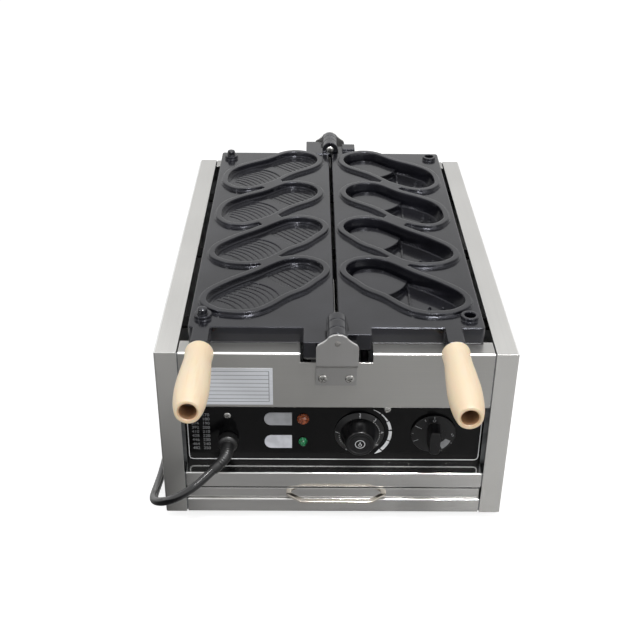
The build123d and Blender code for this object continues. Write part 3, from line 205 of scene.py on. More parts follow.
def coat(material, *nodes):
    """Gives CAD nodes a finish."""
    for name in nodes:
        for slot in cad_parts[name].material_slots:
            slot.material = material


# Pale floor and soft light: a white ground and sky, a wide soft lamp above and weaker ones at the sides.
# Metal sees the white sky too. The ground is grey in reflections, with painted shade for the casing to
# mirror:
# it is darker to the left and darkest before the left post. Its greys fade into each other between pairs of
# places along X or Y. One long narrow lamp is there for reflections only: it gives the coated plates their
# glints.
FLOOR_HALF = 4.0
SKY_LIGHT = 0.50
SKY_SEEN = 0.81
GROUND_EVEN = 0.45
GROUND_OPEN = 0.55
GROUND_LEFT = 0.34
GROUND_RIGHT = 0.55
GROUND_POST_SHADE = 0.02
GROUND_GLOW = 0.80
GROUND_SHEEN = 0.03
LEFT_TO_RIGHT = (-0.05, 0.25)
POST_ACROSS = (-0.20, -0.13)
POST_AHEAD = (-0.54, -0.30)
FRONT_EDGE = (-0.22, -0.10)


def ground_finish():
    """Grey ground as a surface, and for the camera an even tone lifted to white where no shadow falls."""
    material = bpy.data.materials.new("pale_ground")
    start = cleared(material)
    even, beyond = ((g, g, g, 1) for g in (GROUND_EVEN, GROUND_OPEN))
    left, right, dark = ((g, g, g, 1) for g in (GROUND_LEFT, GROUND_RIGHT, GROUND_POST_SHADE))
    seen = start.ray("Camera")
    # Painted shade, seen only in reflections: darker to the left, and darkest before the left post.
    sideways_shade = start.axis("X").between(*LEFT_TO_RIGHT).mix(left, right)
    corner = (1 - start.axis("X").between(*POST_ACROSS)) * start.axis("Y").between(*POST_AHEAD)
    ahead = 1 - start.axis("Y").between(*FRONT_EDGE)
    colour = seen.mix(ahead.mix(beyond, corner.mix(sideways_shade, dark)), even)
    lit = start.node("ShaderNodeBsdfDiffuse", {"Color": colour})
    glowing = seen * GROUND_GLOW + start.ray("Glossy") * GROUND_SHEEN
    glow = start.node("ShaderNodeEmission", {"Strength": glowing})
    both = start.node("ShaderNodeAddShader", {0: lit, 1: glow})
    start.node("ShaderNodeOutputMaterial", {"Surface": both})
    return material


corners = [(-FLOOR_HALF, -FLOOR_HALF, 0), (FLOOR_HALF, -FLOOR_HALF, 0)]
corners += [(FLOOR_HALF, FLOOR_HALF, 0), (-FLOOR_HALF, FLOOR_HALF, 0)]
ground_mesh = bpy.data.meshes.new("ground")
ground_mesh.from_pydata(corners, [], [(0, 1, 2, 3)])
ground_mesh.materials.append(ground_finish())
ground = linked("ground", ground_mesh)

sky = bpy.data.worlds.new("studio")
sky_start = cleared(sky)
to_gloss = sky_start.ray("Glossy") * (SKY_SEEN - SKY_LIGHT)
strength = sky_start.ray("Camera") * (1 - SKY_LIGHT) + to_gloss + SKY_LIGHT
background = sky_start.node("ShaderNodeBackground", {"Color": (1, 1, 1, 1), "Strength": strength})
sky_start.node("ShaderNodeOutputWorld", {"Surface": background})
bpy.context.scene.world = sky


def soft_lamp(name, place, target, width, height, watts):
    """A rectangular lamp at a place, turned to a target."""
    lamp = bpy.data.lights.new(name, "AREA")
    lamp.shape = "RECTANGLE"
    lamp.size = width
    lamp.size_y = height
    lamp.energy = watts
    stand = linked(name, lamp)
    way = Vector(target) - Vector(place)
    stand.matrix_world = Matrix.Translation(place) @ way.to_track_quat("-Z", "Y").to_matrix().to_4x4()
    return stand


soft_lamp("lamp_above", (0.1, 0.35, 1.8), (0, 0.0, 0.2), 1.8, 1.0, 7)
soft_lamp("lamp_front_right", (1.3, -1.6, 1.1), (0, 0, 0.15), 0.9, 0.9, 7)
soft_lamp("lamp_ahead", (0.3, -0.75, 1.75), (0, 0, 0.2), 0.09, 0.09, 5.5)
glint = soft_lamp("lamp_glint", (0.25, -0.7, 1.7), (0, 0, 0.2), 0.4, 0.06, 45)
glint.visible_diffuse = False
soft_lamp("lamp_left_strip", (-1.1, -0.9, 1.2), (-0.1, 0, 0.1), 0.06, 0.6, 5)


# Shapes are pairs of points and faces, worked out with arrays in the casing's axes or in a piece's own.
# Rows of points run so that faces look outwards.
def net(points, ring=False):
    """A net of faces: points[i, j] is joined to points[i, j + 1] and to points[i + 1, j]."""
    rows, count = points.shape[:2]
    at = np.arange(rows * count).reshape(rows, count)
    if ring:
        at = np.concatenate((at, at[:, :1]), 1)
    faces = np.stack((at[:-1, :-1], at[:-1, 1:], at[1:, 1:], at[1:, :-1]), -1)
    return points.reshape(-1, 3), faces.reshape(-1, 4).tolist()


def around(steps):
    """A row of even angles round a circle."""
    return np.linspace(0, 2 * np.pi, steps, endpoint=False)[None]


def turned(profile, steps=64, swell=None):
    """A body turned about local Z: x = r cos a, y = r sin a, z = h for each (r, h) of the profile, with r
    multiplied by swell(h, a) where it is given."""
    r, h = np.array(profile, float).T[:, :, None]
    a = around(steps)
    if swell is not None:
        r = r * swell(h, a)
    return net(np.stack((r * np.cos(a), r * np.sin(a), h + 0 * a), -1), ring=True)


def soften(corners, reach, steps=6):
    """A path whose inner corners are parabolas that start and end at the given reach from their corner,
    or half way along a short leg."""
    corners = np.array(corners, float)
    t = np.linspace(0, 1, steps)[:, None]
    path = [corners[0]]
    reaches = np.broadcast_to(reach, len(corners) - 2)
    for before, corner, after, length in zip(corners, corners[1:], corners[2:], reaches):
        start = corner + (before - corner) * min(0.5, length / np.linalg.norm(before - corner))
        end = corner + (after - corner) * min(0.5, length / np.linalg.norm(after - corner))
        path += list((1 - t) ** 2 * start + 2 * t * (1 - t) * corner + t**2 * end)
    path.append(corners[-1])
    return np.array(path)


def through(points, steps=10):
    """A Catmull-Rom curve: each stretch is a cubic that its two ends and their neighbours give."""
    p = np.array(points, float)
    p = np.concatenate((2 * p[:1] - p[1:2], p, 2 * p[-1:] - p[-2:-1]))
    t = np.linspace(0, 1, steps, endpoint=False)[:, None]
    path = []
    for a, b, c, d in zip(p, p[1:], p[2:], p[3:]):
        bend = (2 * a - 5 * b + 4 * c - d) * t**2 + (3 * b - a - 3 * c + d) * t**3
        path.append(0.5 * (2 * b + (c - a) * t + bend))
    return np.concatenate(path + [p[-2:-1]])


def tube(path, radii, steps=20):
    """A closed round tube: about each point a ring of its radius, square to the path, and ends drawn in."""
    path = np.array(path, float)
    along = np.gradient(path, axis=0)
    along /= np.linalg.norm(along, axis=1)[:, None]
    side = np.cross(along, (0.05, 0.1, 0.99))
    side /= np.linalg.norm(side, axis=1)[:, None]
    over = np.cross(along, side)
    a = around(steps)[..., None]
    rings = np.cos(a) * side[:, None] + np.sin(a) * over[:, None]
    points = path[:, None] + rings * np.broadcast_to(radii, len(path))[:, None, None]
    first = np.broadcast_to(path[0], points[:1].shape)
    last = np.broadcast_to(path[-1], points[:1].shape)
    return net(np.concatenate((first, points, last)), ring=True)


def band(line, width, ring=False):
    """A flat strip in local XY, half its width to each side of a line of (x, y) points."""
    line = np.array(line, float)
    if ring:
        line = np.concatenate((line, line[:1]))
    along = np.gradient(line, axis=0)
    if ring:
        along[0] = along[-1] = line[1] - line[-2]
    along /= np.linalg.norm(along, axis=1)[:, None]
    left = np.stack((-along[:, 1], along[:, 0]), 1) * np.broadcast_to(width, len(line))[:, None] / 2
    points = np.stack((line + left, line - left), 1)
    return net(np.concatenate((points, np.zeros((len(line), 2, 1))), 2))


def slab(outline, thickness):
    """A flat plate over a convex outline of (x, y) points: its wall, then a top drawn in to the middle."""
    outline = np.array(outline, float)
    low = np.c_[outline, np.zeros(len(outline))]
    high = np.c_[outline, np.full(len(outline), thickness)]
    middle = np.broadcast_to(high.mean(0), high.shape)
    return net(np.stack((low, high, middle)), ring=True)


def arc(radius, start, end, steps=16, centre=(0, 0)):
    """Points on an arc between two angles in degrees."""
    a = np.radians(np.linspace(start, end, steps))
    return np.stack((centre[0] + radius * np.cos(a), centre[1] + radius * np.sin(a)), 1)


def glyphs(text, size):
    """Figures as a flat mesh, centred on the origin."""
    letters = bpy.data.curves.new("glyphs", "FONT")
    letters.body = text
    letters.size = size
    letters.align_x = "CENTER"
    letters.align_y = "CENTER"
    letters.resolution_u = 3
    stand = linked("glyphs", letters)
    mesh = bpy.data.meshes.new_from_object(stand)
    shape = np.array([v.co for v in mesh.vertices]), [list(face.vertices) for face in mesh.polygons]
    bpy.data.objects.remove(stand)
    bpy.data.curves.remove(letters)
    bpy.data.meshes.remove(mesh)
    return shape


def placed(shape, matrix):
    """A shape moved by a matrix."""
    points, faces = shape
    turn = np.array(matrix)
    return points @ turn[:3, :3].T + turn[:3, 3], faces


def spun(degrees):
    """A turn about Z."""
    return Matrix.Rotation(math.radians(degrees), 4, "Z")


def facing(x, y, z, degrees=0.0):
    """Axes on a front face: local X to the right, Y up and Z to the front, then turned about Z."""
    axes = Matrix(((1, 0, 0, x), (0, 0, -1, y), (0, 1, 0, z), (0, 0, 0, 1)))
    return axes @ spun(degrees)


def piece(name, shapes, material, body, replaces=(), crease=35):
    """One object from shapes in the casing's axes: like points merged, smooth but for its sharp edges."""
    points = []
    faces = []
    start = 0
    for shape_points, shape_faces in shapes:
        points.append(shape_points)
        faces += [[start + i for i in face] for face in shape_faces]
        start += len(shape_points)
    mesh = bpy.data.meshes.new(name)
    mesh.from_pydata((np.concatenate(points) + np.array(CASING_ORIGIN)).tolist(), [], faces)
    tidy = bmesh.new()
    tidy.from_mesh(mesh)
    bmesh.ops.remove_doubles(tidy, verts=tidy.verts, dist=1e-6)
    bmesh.ops.dissolve_degenerate(tidy, edges=tidy.edges, dist=1e-6)
    tidy.to_mesh(mesh)
    tidy.free()
    mesh.polygons.foreach_set("use_smooth", [True] * len(mesh.polygons))
    mesh.set_sharp_from_angle(angle=math.radians(crease))
    mesh.materials.append(material)
    made = linked(name, mesh)
    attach(made, body)
    if replaces:
        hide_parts(*replaces)
    return made


def casing_box(node):
    """A node's lowest and highest corners in the casing's axes."""
    low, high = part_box(node)
    return low - CASING_ORIGIN, high - CASING_ORIGIN


# Casing of folded stainless sheet: two side channels, an apron, rails, a rear panel and a base plate,
# brushed along their length. The rails are polished enough to mirror what is before them.
def brushed_sheet(
    start, colour, stretch, roughness, spread=0.08, scratch=0.00003, worn=1.0, metal=0.9, fold=0.0007
):
    """Brushed sheet: fine streaks along the brushing, faint clouds, and a painted highlight, near white and
    less metallic, beside sharp edges and on front lips that slope upwards. The fold is the radius of its
    edges."""
    streaks = start.noise(1.0, 3.0, 0.6, stretch)
    clouds = start.noise(7.0, 2.0, 0.5)
    light = (streaks * 0.3 + clouds * 0.7).between(0.3, 0.7)
    normal = start.node("ShaderNodeTexCoord", output="Normal")
    upward = start.node("ShaderNodeSeparateXYZ", {0: normal}, "Z")
    # Painted highlight: faces that slope upwards, such as rounded front lips, and faces beside sharp edges
    # turn near white.
    lip_highlight = upward.between(0.1, 0.4) - upward.between(0.95, 0.999)
    edge = start.math("MAXIMUM", start.edge(fold), lip_highlight) * worn
    return {
        "Base Color": edge.mix(light.mix(shade(colour, 1 - spread), colour), tone(252, 252, 250)),
        "Metallic": metal - edge * 0.3,
        "Roughness": streaks * 0.1 + clouds * 0.06 + (roughness - 0.08),
        "Normal": start.rounded(fold, streaks, scratch),
    }


ALONG_X = (5, 700, 700)
ALONG_Y = (700, 5, 700)
ALONG_Z = (700, 700, 5)
# The front sheet is a darker copy of the side sheets' steel: painted shade on the apron and rear panel.
front_sheet = finish("brushed_front_sheet", brushed_sheet, tone(187, 186, 183), ALONG_X, 0.34)
side_sheet = finish("brushed_side_sheet", brushed_sheet, tone(216, 215, 212), ALONG_Y, 0.36)
POLISH = {"spread": 0.06, "scratch": 0.000003, "metal": 1.0, "fold": 0.0016}
rail_sheet = finish("polished_rail_sheet", brushed_sheet, tone(214, 213, 211), ALONG_X, 0.13, **POLISH)
coat(side_sheet, "left_side_panel", "right_side_panel")
coat(front_sheet, "front_apron", "rear_panel")
coat(rail_sheet, "upper_front_rail", "lower_front_rail", "drawer_front")


def galvanised(start):
    """Zinc-coated sheet: dull, with crystals of slightly different greys."""
    crystals = start.node("ShaderNodeTexVoronoi", {"Vector": start.place(), "Scale": 180.0}, "Color")
    grey = start.node("ShaderNodeSeparateColor", {0: crystals}, "Red")
    cloud = start.noise(14, 3.0, 0.6)
    return {
        "Base Color": (grey * 0.5 + cloud * 0.5).mix(tone(112, 114, 116), tone(158, 160, 162)),
        "Metallic": 0.8,
        "Roughness": grey * 0.14 + 0.42,
        "Normal": start.rounded(0.0004, cloud, 0.00003),
    }


zinc_sheet = finish("galvanised_sheet", galvanised)
coat(zinc_sheet, "splice_plates", "base_plate", "drawer_runners")
coat(zinc_sheet, "crumb_tray", "control_panel", "heat_shield")


# Heaters: bent sheathed tubes on flat supports, and the thermostat's bulb. The tubes are darkened by heat,
# with straw and blue tints. The supports are near black: painted shade in the gap beside the plates.
def heat_darkened(start, low, high, roughness):
    """Steel darkened by heat on the heaters, and near black as painted shade in gaps: tints drift along it,
    under fine soot.
    """
    drift = start.noise(16, 2.0, 0.5)
    soot = start.noise(900, 3.0, 0.7)
    return {
        "Base Color": drift.between(0.35, 0.65).mix(low, high),
        "Metallic": 0.7,
        "Roughness": soot * 0.2 + (roughness - 0.1),
        "Normal": start.rounded(0.0004, soot, 0.00002),
    }


sheath = finish("heater_sheath", heat_darkened, tone(40, 36, 34), tone(60, 56, 62), 0.55)
# Near black supports: painted shade in the gap beside the plates.
gap_shade_steel = finish("supports_painted_shade", heat_darkened, tone(14, 14, 15), tone(24, 22, 21), 0.7)
coat(sheath, "left_heater", "right_heater")
coat(gap_shade_steel, "heater_supports")


# Mould plates of cast aluminium with a dark glossy release coating, and the pins that line them up.
# The coating is paler beside its sharp edges, raised and hollow alike: a painted highlight.
def release_coating(start):
    """Dark glossy coating: clouds of two near blacks, fine grain, and a painted highlight beside sharp
    edges.
    """
    grain = start.noise(1400, 2.0, 0.6)
    clouds = start.noise(20, 3.0, 0.55)
    # Painted highlight: the coating turns paler beside sharp edges.
    edge = start.edge(0.0008)
    coated = clouds.between(0.35, 0.7).mix(tone(13, 13, 17), tone(19, 19, 25))
    return {
        "Base Color": (edge * 0.4).mix(coated, tone(42, 42, 50)),
        "Metallic": 0.0,
        "Roughness": clouds * 0.14 + 0.16,
        "Specular IOR Level": 0.3,
        "Specular Tint": tone(240, 242, 255),
        "Coat Weight": clouds * 0.3 + 0.45,
        "Coat Roughness": 0.04,
        "Normal": start.rounded(0.003, grain, 0.00001, 8),
    }


plate_coating = finish("release_coating", release_coating)
coat(plate_coating, "left_mould_plate", "right_mould_plate")

LOCATOR_R = 0.005
LOCATOR_SINK = 0.012
LOCATOR_ROUND = 0.0022
LOCATOR_RISE = 0.0065
COLLAR_R = 0.0056


def locating_pin(x, y, foot, top):
    """A pin with a rounded head and a thin collar at its foot."""
    high = top - foot
    wall = [(0, -LOCATOR_SINK), (LOCATOR_R, -LOCATOR_SINK), (LOCATOR_R, 0)]
    collar = [(COLLAR_R, 0), (COLLAR_R, 0.0004), (LOCATOR_R, 0.0009)]
    head = soften([(LOCATOR_R, 0.0012), (LOCATOR_R, high), (0, high)], LOCATOR_ROUND, 8)
    shape = turned(wall + collar + head.tolist(), 40)
    return placed(shape, Matrix.Translation((x, y, foot)))


pins_low, pins_high = casing_box("locating_pins")
pin_x = (pins_low.x + pins_high.x) / 2
pin_rows = (pins_low.y + LOCATOR_R, pins_high.y - LOCATOR_R)
pins = [locating_pin(pin_x, y, pins_high.z - LOCATOR_RISE, pins_high.z) for y in pin_rows]
piece("locating_pins_coated", pins, plate_coating, "left_plate", ["locating_pins"])


# Hinge: knuckles of both plates turn on a pin at each end. Thin washers fill the gaps between them. Each
# bracket carries its pin with a weld, and is held by screws with a cross recess, each turned by some
# degrees.
def bright_metal(start, colour, roughness, spread=0.1):
    """Turned or plated steel: fine turning marks and slight tarnish."""
    marks = start.noise(2200, 2.0, 0.5)
    tarnish = start.noise(35, 3.0, 0.6)
    return {
        "Base Color": tarnish.between(0.3, 0.75).mix(shade(colour, 1 - 3 * spread), colour),
        "Metallic": 1.0,
        "Roughness": tarnish * 0.16 + (roughness - 0.05),
        "Normal": start.rounded(0.0003, marks, 0.00001),
    }


bright_steel = finish("bright_steel", bright_metal, tone(196, 195, 192), 0.2)
# The bracket's sheet is a darker copy of the casing steel, with a weaker painted highlight: painted shade.
bracket_sheet = finish("brushed_bracket_sheet", brushed_sheet, tone(172, 171, 170), ALONG_Z, 0.36, worn=0.45)
coat(bright_steel, "front_hinge_pin", "rear_hinge_pin", "temperature_shaft", "timer_shaft")
coat(bright_steel, "thermostat_bulb", "pull_rivets")
for part in ("rod", "washer", "nut"):
    coat(bright_steel, f"left_handle_{part}", f"right_handle_{part}")
coat(bracket_sheet, "front_bracket", "rear_bracket")

AXIS_Z = 0.22535
PIN_R = 0.005
WASHER_R = 0.0098
WASHER_BORE = 0.0051
WASHER_HALF = 0.00036
KNUCKLE_GAPS = (0.0120, -0.0022, 0.4950, 0.5080)


def bearing_washer(y):
    """A thin ring square to the hinge's axis, with rounded edges."""
    low, high = (WASHER_BORE, -WASHER_HALF), (WASHER_BORE, WASHER_HALF)
    section = [low, (WASHER_R, -WASHER_HALF), (WASHER_R, WASHER_HALF), high]
    ring = soften(section + section[:2], 0.0002, 3)[1:-1]
    return placed(turned(ring, 48), facing(0, y, AXIS_Z))


washers = [bearing_washer(y) for y in KNUCKLE_GAPS]
# The washers are dark: painted shade in the gaps between the knuckles.
gap_shade_washer_steel = finish("gap_shade_washer_steel", heat_darkened, tone(30, 30, 33), tone(48, 48, 52), 0.4)
piece("bearing_washers", washers, gap_shade_washer_steel, "casing")

CROSS_ARM = 0.13
CROSS_REACH = 0.6
CROSS_FADE = 0.12
CROSS_DEEP = 0.75


def pan_head(radius, height, shank_r, shank):
    """A screw: its shank, then a head z = height (1 - (r / radius)^4 / 2), less a cross recess that is
    deepest along two arms and runs out at their ends. The cross is in parts of the radius."""
    r = np.linspace(1, 0, 30)[:, None] * radius
    a = around(96)
    x = r * np.cos(a)
    y = r * np.sin(a)
    dome = height * (1 - (r / radius) ** 4 / 2)
    across = np.minimum(np.abs(x), np.abs(y)) / radius
    reach = np.maximum(np.abs(x), np.abs(y)) / radius
    arm = np.clip((CROSS_ARM - across) / (0.4 * CROSS_ARM), 0, 1)
    end = np.clip((CROSS_REACH - reach) / CROSS_FADE, 0, 1)
    top = np.stack((x, y, dome - CROSS_DEEP * height * arm * end), -1)
    foot = turned([(0, -shank), (shank_r, -shank), (shank_r, 0), (radius, 0)], 96)[0].reshape(4, 96, 3)
    return net(np.concatenate((foot, top)), ring=True)


SCREW_HEAD_R = 0.0046
SCREW_HEAD_H = 0.0022
SCREW_SHANK = (0.002, 0.008)
FRONT_TURN = 20
REAR_TURN = 35
screws_low, screws_high = casing_box("bracket_screws")
screw_x = screws_high.x - SCREW_HEAD_R
screw_z = (screws_low.z + screws_high.z) / 2
bracket_heads = []
for side in (-1, 1):
    screw = pan_head(SCREW_HEAD_R, SCREW_HEAD_H, *SCREW_SHANK)
    front_axes = facing(side * screw_x, screws_low.y + SCREW_HEAD_H, screw_z, FRONT_TURN * side)
    rear_axes = spun(180) @ facing(side * screw_x, 0, screw_z, REAR_TURN * side)
    rear_axes = Matrix.Translation((0, screws_high.y - SCREW_HEAD_H, 0)) @ rear_axes
    bracket_heads += [placed(screw, front_axes), placed(screw, rear_axes)]
piece("bracket_screws_cross", bracket_heads, bright_steel, "casing", ["bracket_screws"])

WELD_R = 0.0030
WELD_H = 0.0005


def weld_bead(axes):
    """A plug weld: z = height (1 - (r / R)^3), with R swelling and shrinking round it."""
    r = np.linspace(1, 0, 14)[:, None]
    a = around(48)
    radius = WELD_R * (1 + 0.05 * np.sin(3 * a + 1) + 0.035 * np.sin(7 * a) + 0.02 * np.sin(11 * a + 2))
    ripple = 1 + 0.16 * np.sin(14 * r + 2 * a) + 0.08 * np.sin(5 * a)
    height = WELD_H * (1 - r**3) * ripple
    bead = np.stack((radius * r * np.cos(a), radius * r * np.sin(a), height), -1)
    return placed(net(bead, ring=True), axes)


PIN_DOME_H = 0.0016
PIN_DOME_R = 0.0030
PIN_DOME_WALL = 0.0004
dome_corners = [(PIN_R, -PIN_DOME_WALL), (PIN_R, PIN_DOME_WALL), (PIN_DOME_R, PIN_DOME_H), (0, PIN_DOME_H)]
dome = [(0, -PIN_DOME_WALL), *soften(dome_corners, 0.0012, 6)]
pin_dome = placed(turned(dome, 40), facing(0, casing_box("rear_hinge_pin")[0].y, AXIS_Z))
piece("rear_pin_dome", [pin_dome], bright_steel, "casing")

front_leaf = casing_box("front_bracket")[0]
rear_leaf = casing_box("rear_bracket")[1]
weld_metal = finish("weld_metal", bright_metal, tone(158, 156, 153), 0.4, 0.08)
rear_face = Matrix.Translation((0, rear_leaf.y, AXIS_Z)) @ Matrix.Rotation(-math.pi / 2, 4, "X")
welds = [weld_bead(facing(0, front_leaf.y, AXIS_Z)), weld_bead(rear_face)]
piece("pin_welds", welds, weld_metal, "casing")


# Handles: turned pale wood with a deep bore for the nut, tilted a little at the left as the rod is bent.
# Grain runs along the handle; the bore's mouth is rounded over.
HANDLE_L = 0.1055
HANDLE_RADII = [(0, 0.0140), (0.16, 0.0134), (0.42, 0.0151), (0.66, 0.0160), (0.88, 0.0146), (1, 0.0119)]
BORE_R = 0.0079
BORE_L = 0.026
ROD_R = 0.003
MOUTH_W = 0.0013
LEFT_TILT = math.radians(3.3)


def pale_wood(start, root, way):
    """Smooth pale wood: long grain, broad warm bands and tiny pores. The bore is browner, for its end grain
    and for painted shade, and its mouth is darker with painted shade; both are found by the distance from
    the handle's axis."""
    grain = start.noise(1.0, 4.0, 0.62, (240, 9, 240))
    bands = start.noise(1.0, 2.0, 0.5, (38, 3, 38))
    pores = start.noise(1.0, 2.0, 0.5, (1500, 120, 1500))
    pale = bands.between(0.35, 0.65).mix(tone(247, 223, 188), tone(250, 230, 200))
    grained = (grain.between(0.5, 0.72) * 0.25).mix(pale, tone(236, 198, 150))
    offset = start.vector_math("SUBTRACT", start.place(), tuple(root))
    across = start.vector_math("CROSS_PRODUCT", offset, tuple(way))
    distance = start.vector_math("LENGTH", across, output="Value")
    # Painted shade: the bore is dark brown, and its mouth darker than the grain.
    bore = 1 - distance.between(BORE_R - 0.0001, BORE_R + 0.0003)
    mouth_shade = 1 - distance.between(BORE_R + MOUTH_W, BORE_R + MOUTH_W + 0.0005)
    rim = (mouth_shade * 0.5).mix(grained, tone(206, 160, 116))
    return {
        "Base Color": bore.mix(rim, tone(150, 108, 72)),
        "Roughness": grain * 0.12 + 0.42,
        "Coat Weight": 0.12,
        "Coat Roughness": 0.35,
        "Subsurface Weight": 0.25,
        "Subsurface Radius": (1.0, 0.45, 0.2),
        "Subsurface Scale": 0.004,
        "Normal": start.rounded(0.0006, pores + grain * 0.5, 0.00002),
    }


def wooden_handle():
    """Profile of the grip along local Z from its root: the turned outside, the mouth and the bore."""
    outside = through([(h * HANDLE_L, r) for h, r in HANDLE_RADII], 12)[:, ::-1]
    end = [outside[-4], (HANDLE_RADII[-1][1], HANDLE_L), (BORE_R + MOUTH_W, HANDLE_L)]
    bore = [(BORE_R, HANDLE_L - MOUTH_W), (BORE_R, HANDLE_L - BORE_L)]
    rim = soften(end + bore, (0.0022, 0.0006, 0.0006), 6)
    profile = [(ROD_R, 0.0), *outside[:-4], *rim, (ROD_R, HANDLE_L - BORE_L), (ROD_R, 0.0)]
    return turned(profile, 72)


for side, tilt in (("left", LEFT_TILT), ("right", 0.0)):
    washer_low, washer_high = casing_box(f"{side}_handle_washer")
    way = Vector((0, -math.cos(tilt), math.sin(tilt)))
    over = Vector((0, math.sin(tilt), math.cos(tilt)))
    root = (washer_low + washer_high) / 2 + way * 0.0005
    axes = Matrix(((1, 0, 0, root.x), (0, over.y, way.y, root.y), (0, over.z, way.z, root.z), (0, 0, 0, 1)))
    body = f"{side}_plate"
    wood = finish(f"{side}_pale_wood", pale_wood, root + CASING_ORIGIN, way)
    grip = [placed(wooden_handle(), axes)]
    piece(f"{side}_turned_handle", grip, wood, body, [f"{side}_wooden_handle"])


# Control panel: a glossy black facing with a white border, number columns and a warming arc printed on
# it, bare enamelled plates beside the lamps, and screws.
def black_film(start):
    """Glossy black film: faint haze and long shallow waves."""
    haze = start.noise(30, 3.0, 0.6)
    waves = start.noise(1.0, 1.0, 0.5, (8, 8, 8))
    return {
        "Base Color": haze.between(0.3, 0.8).mix(tone(6, 6, 7), tone(12, 12, 13)),
        "Roughness": haze * 0.1 + 0.1,
        "Specular IOR Level": 0.22,
        "Normal": start.rounded(0.0003, waves, 0.0002),
    }


def printed(start, colour):
    """Printing ink: almost flat colour with a faint uneven cover."""
    cover = start.noise(420, 3.0, 0.6)
    return {
        "Base Color": cover.between(0.25, 0.55).mix(shade(colour, 0.82), colour),
        "Roughness": cover * 0.2 + 0.35,
    }


film = finish("black_film", black_film)
white_ink = finish("white_ink", printed, tone(236, 238, 240))
grey_ink = finish("grey_ink", printed, tone(150, 152, 154))
coat(film, "panel_facing")

FACE_Y = casing_box("panel_facing")[0].y
INK_Y = FACE_Y - 0.0001
BORDER_X = 0.1534
BORDER_Z = 0.0579
BORDER_TOP = 0.1365
BORDER_ROUND = 0.005
BORDER_W = 0.00095


def on_panel(shape, x=0.0, z=0.0, degrees=0.0):
    return placed(shape, facing(x, INK_Y, z, degrees))


border_left = [(-BORDER_X, BORDER_TOP), (-BORDER_X, BORDER_Z)]
border_line = soften(border_left + [(BORDER_X, BORDER_Z), (BORDER_X, BORDER_TOP)], BORDER_ROUND, 8)
piece("panel_border", [on_panel(band(border_line, BORDER_W))], white_ink, "casing")

FIGURE_SIZE = 0.0052
FAHRENHEIT_X = -0.1454
CELSIUS_X = -0.1341
FIGURES_Z = 0.1044
FIGURES_PITCH = 0.00537
rows = []
for i in range(-2, 7):
    celsius = 190 + 10 * i
    z = FIGURES_Z - i * FIGURES_PITCH
    rows.append(on_panel(glyphs(str(celsius * 9 // 5 + 32), FIGURE_SIZE), FAHRENHEIT_X, z))
    rows.append(on_panel(glyphs(str(celsius), FIGURE_SIZE), CELSIUS_X, z))
piece("panel_figures", rows, grey_ink, "casing")

DIAL_X = 0.026
DIAL_Z = 0.094
ARC_R = 0.0325
ARC_SEGMENTS = [
    (64.8, 49.3, 0.0005, 0.0010),
    (46.4, 27.4, 0.0011, 0.0018),
    (25.7, 7.1, 0.0030, 0.0031),
    (3.7, -17.6, 0.0033, 0.0034),
    (-19.7, -42.6, 0.0035, 0.0036),
    (-45.0, -59.0, 0.0046, 0.0001),
]
warming = []
for start_angle, end_angle, width_in, width_out in ARC_SEGMENTS:
    widths = np.linspace(width_in, width_out, 16)
    warming.append(on_panel(band(arc(ARC_R, start_angle, end_angle), widths), DIAL_X, DIAL_Z - 0.0005))
piece("warming_arc", warming, white_ink, "casing")

PLATE_LEFT = -0.0734
PLATE_RIGHT = -0.0446
PLATE_LOW = (0.1030, 0.0733)
PLATE_HIGH = (0.1189, 0.0897)
PLATE_THICK = 0.0008
PLATE_BULGE = 0.9


def lamp_plate(low, high):
    """A bare plate with a square right end and a rounded left end: half an ellipse."""
    half = (high - low) / 2
    bulge = half * PLATE_BULGE
    round_end = arc(1, 90, 270, 20) * (bulge, half) + (PLATE_LEFT + bulge, (low + high) / 2)
    outline = [(PLATE_RIGHT, low), (PLATE_RIGHT, high), *round_end]
    return placed(slab(outline, PLATE_THICK), facing(0, FACE_Y, 0))


def enamel(start, colour):
    """A silvery enamelled plate, a little darker in soft clouds."""
    cloud = start.noise(90, 2.0, 0.5)
    return {
        "Base Color": cloud.between(0.3, 0.7).mix(shade(colour, 0.8), colour),
        "Metallic": 0.25,
        "Roughness": cloud * 0.12 + 0.28,
        "Normal": start.rounded(0.0006, cloud, 0.00002),
    }


grey_enamel = finish("grey_enamel", enamel, tone(186, 188, 192))
white_enamel = finish("white_enamel", enamel, tone(232, 234, 242))
upper_plate = [lamp_plate(PLATE_LOW[0], PLATE_HIGH[0])]
lower_plate = [lamp_plate(PLATE_LOW[1], PLATE_HIGH[1])]
piece("upper_lamp_plate", upper_plate, grey_enamel, "casing")
piece("lower_lamp_plate", lower_plate, white_enamel, "casing")

PANEL_SCREW_R = 0.0036
PANEL_SCREW_H = 0.0016
PANEL_SHANK = (0.0016, 0.006)
PANEL_TURN = 15
panel_heads = []
for corner, inwards in zip(casing_box("panel_screws"), (PANEL_SCREW_R, -PANEL_SCREW_R)):
    screw = pan_head(PANEL_SCREW_R, PANEL_SCREW_H, *PANEL_SHANK)
    panel_heads.append(placed(screw, facing(corner.x + inwards, FACE_Y, corner.z + inwards, PANEL_TURN)))
piece("panel_screws_cross", panel_heads, bright_steel, "casing", ["panel_screws"])


# Lamps: faceted jewels of tinted plastic on a round bezel, one orange and one green.
def tinted_jewel(start, deep, bright):
    """Tinted plastic: deep colour, with painted reflections: brighter flecks, as of light that a prism
    inside sends back.
    """
    prism_glints = start.noise(700, 1.0, 0.5)
    return {
        # Painted reflection: brighter flecks in the base colour.
        "Base Color": prism_glints.between(0.4, 0.62).mix(deep, bright),
        "Roughness": 0.08,
        "Specular IOR Level": 0.7,
        "Coat Weight": prism_glints.between(0.2, 0.8) * 0.6,
        "Coat Roughness": 0.03,
        "Normal": start.rounded(0.0003, prism_glints, 0.0002),
    }


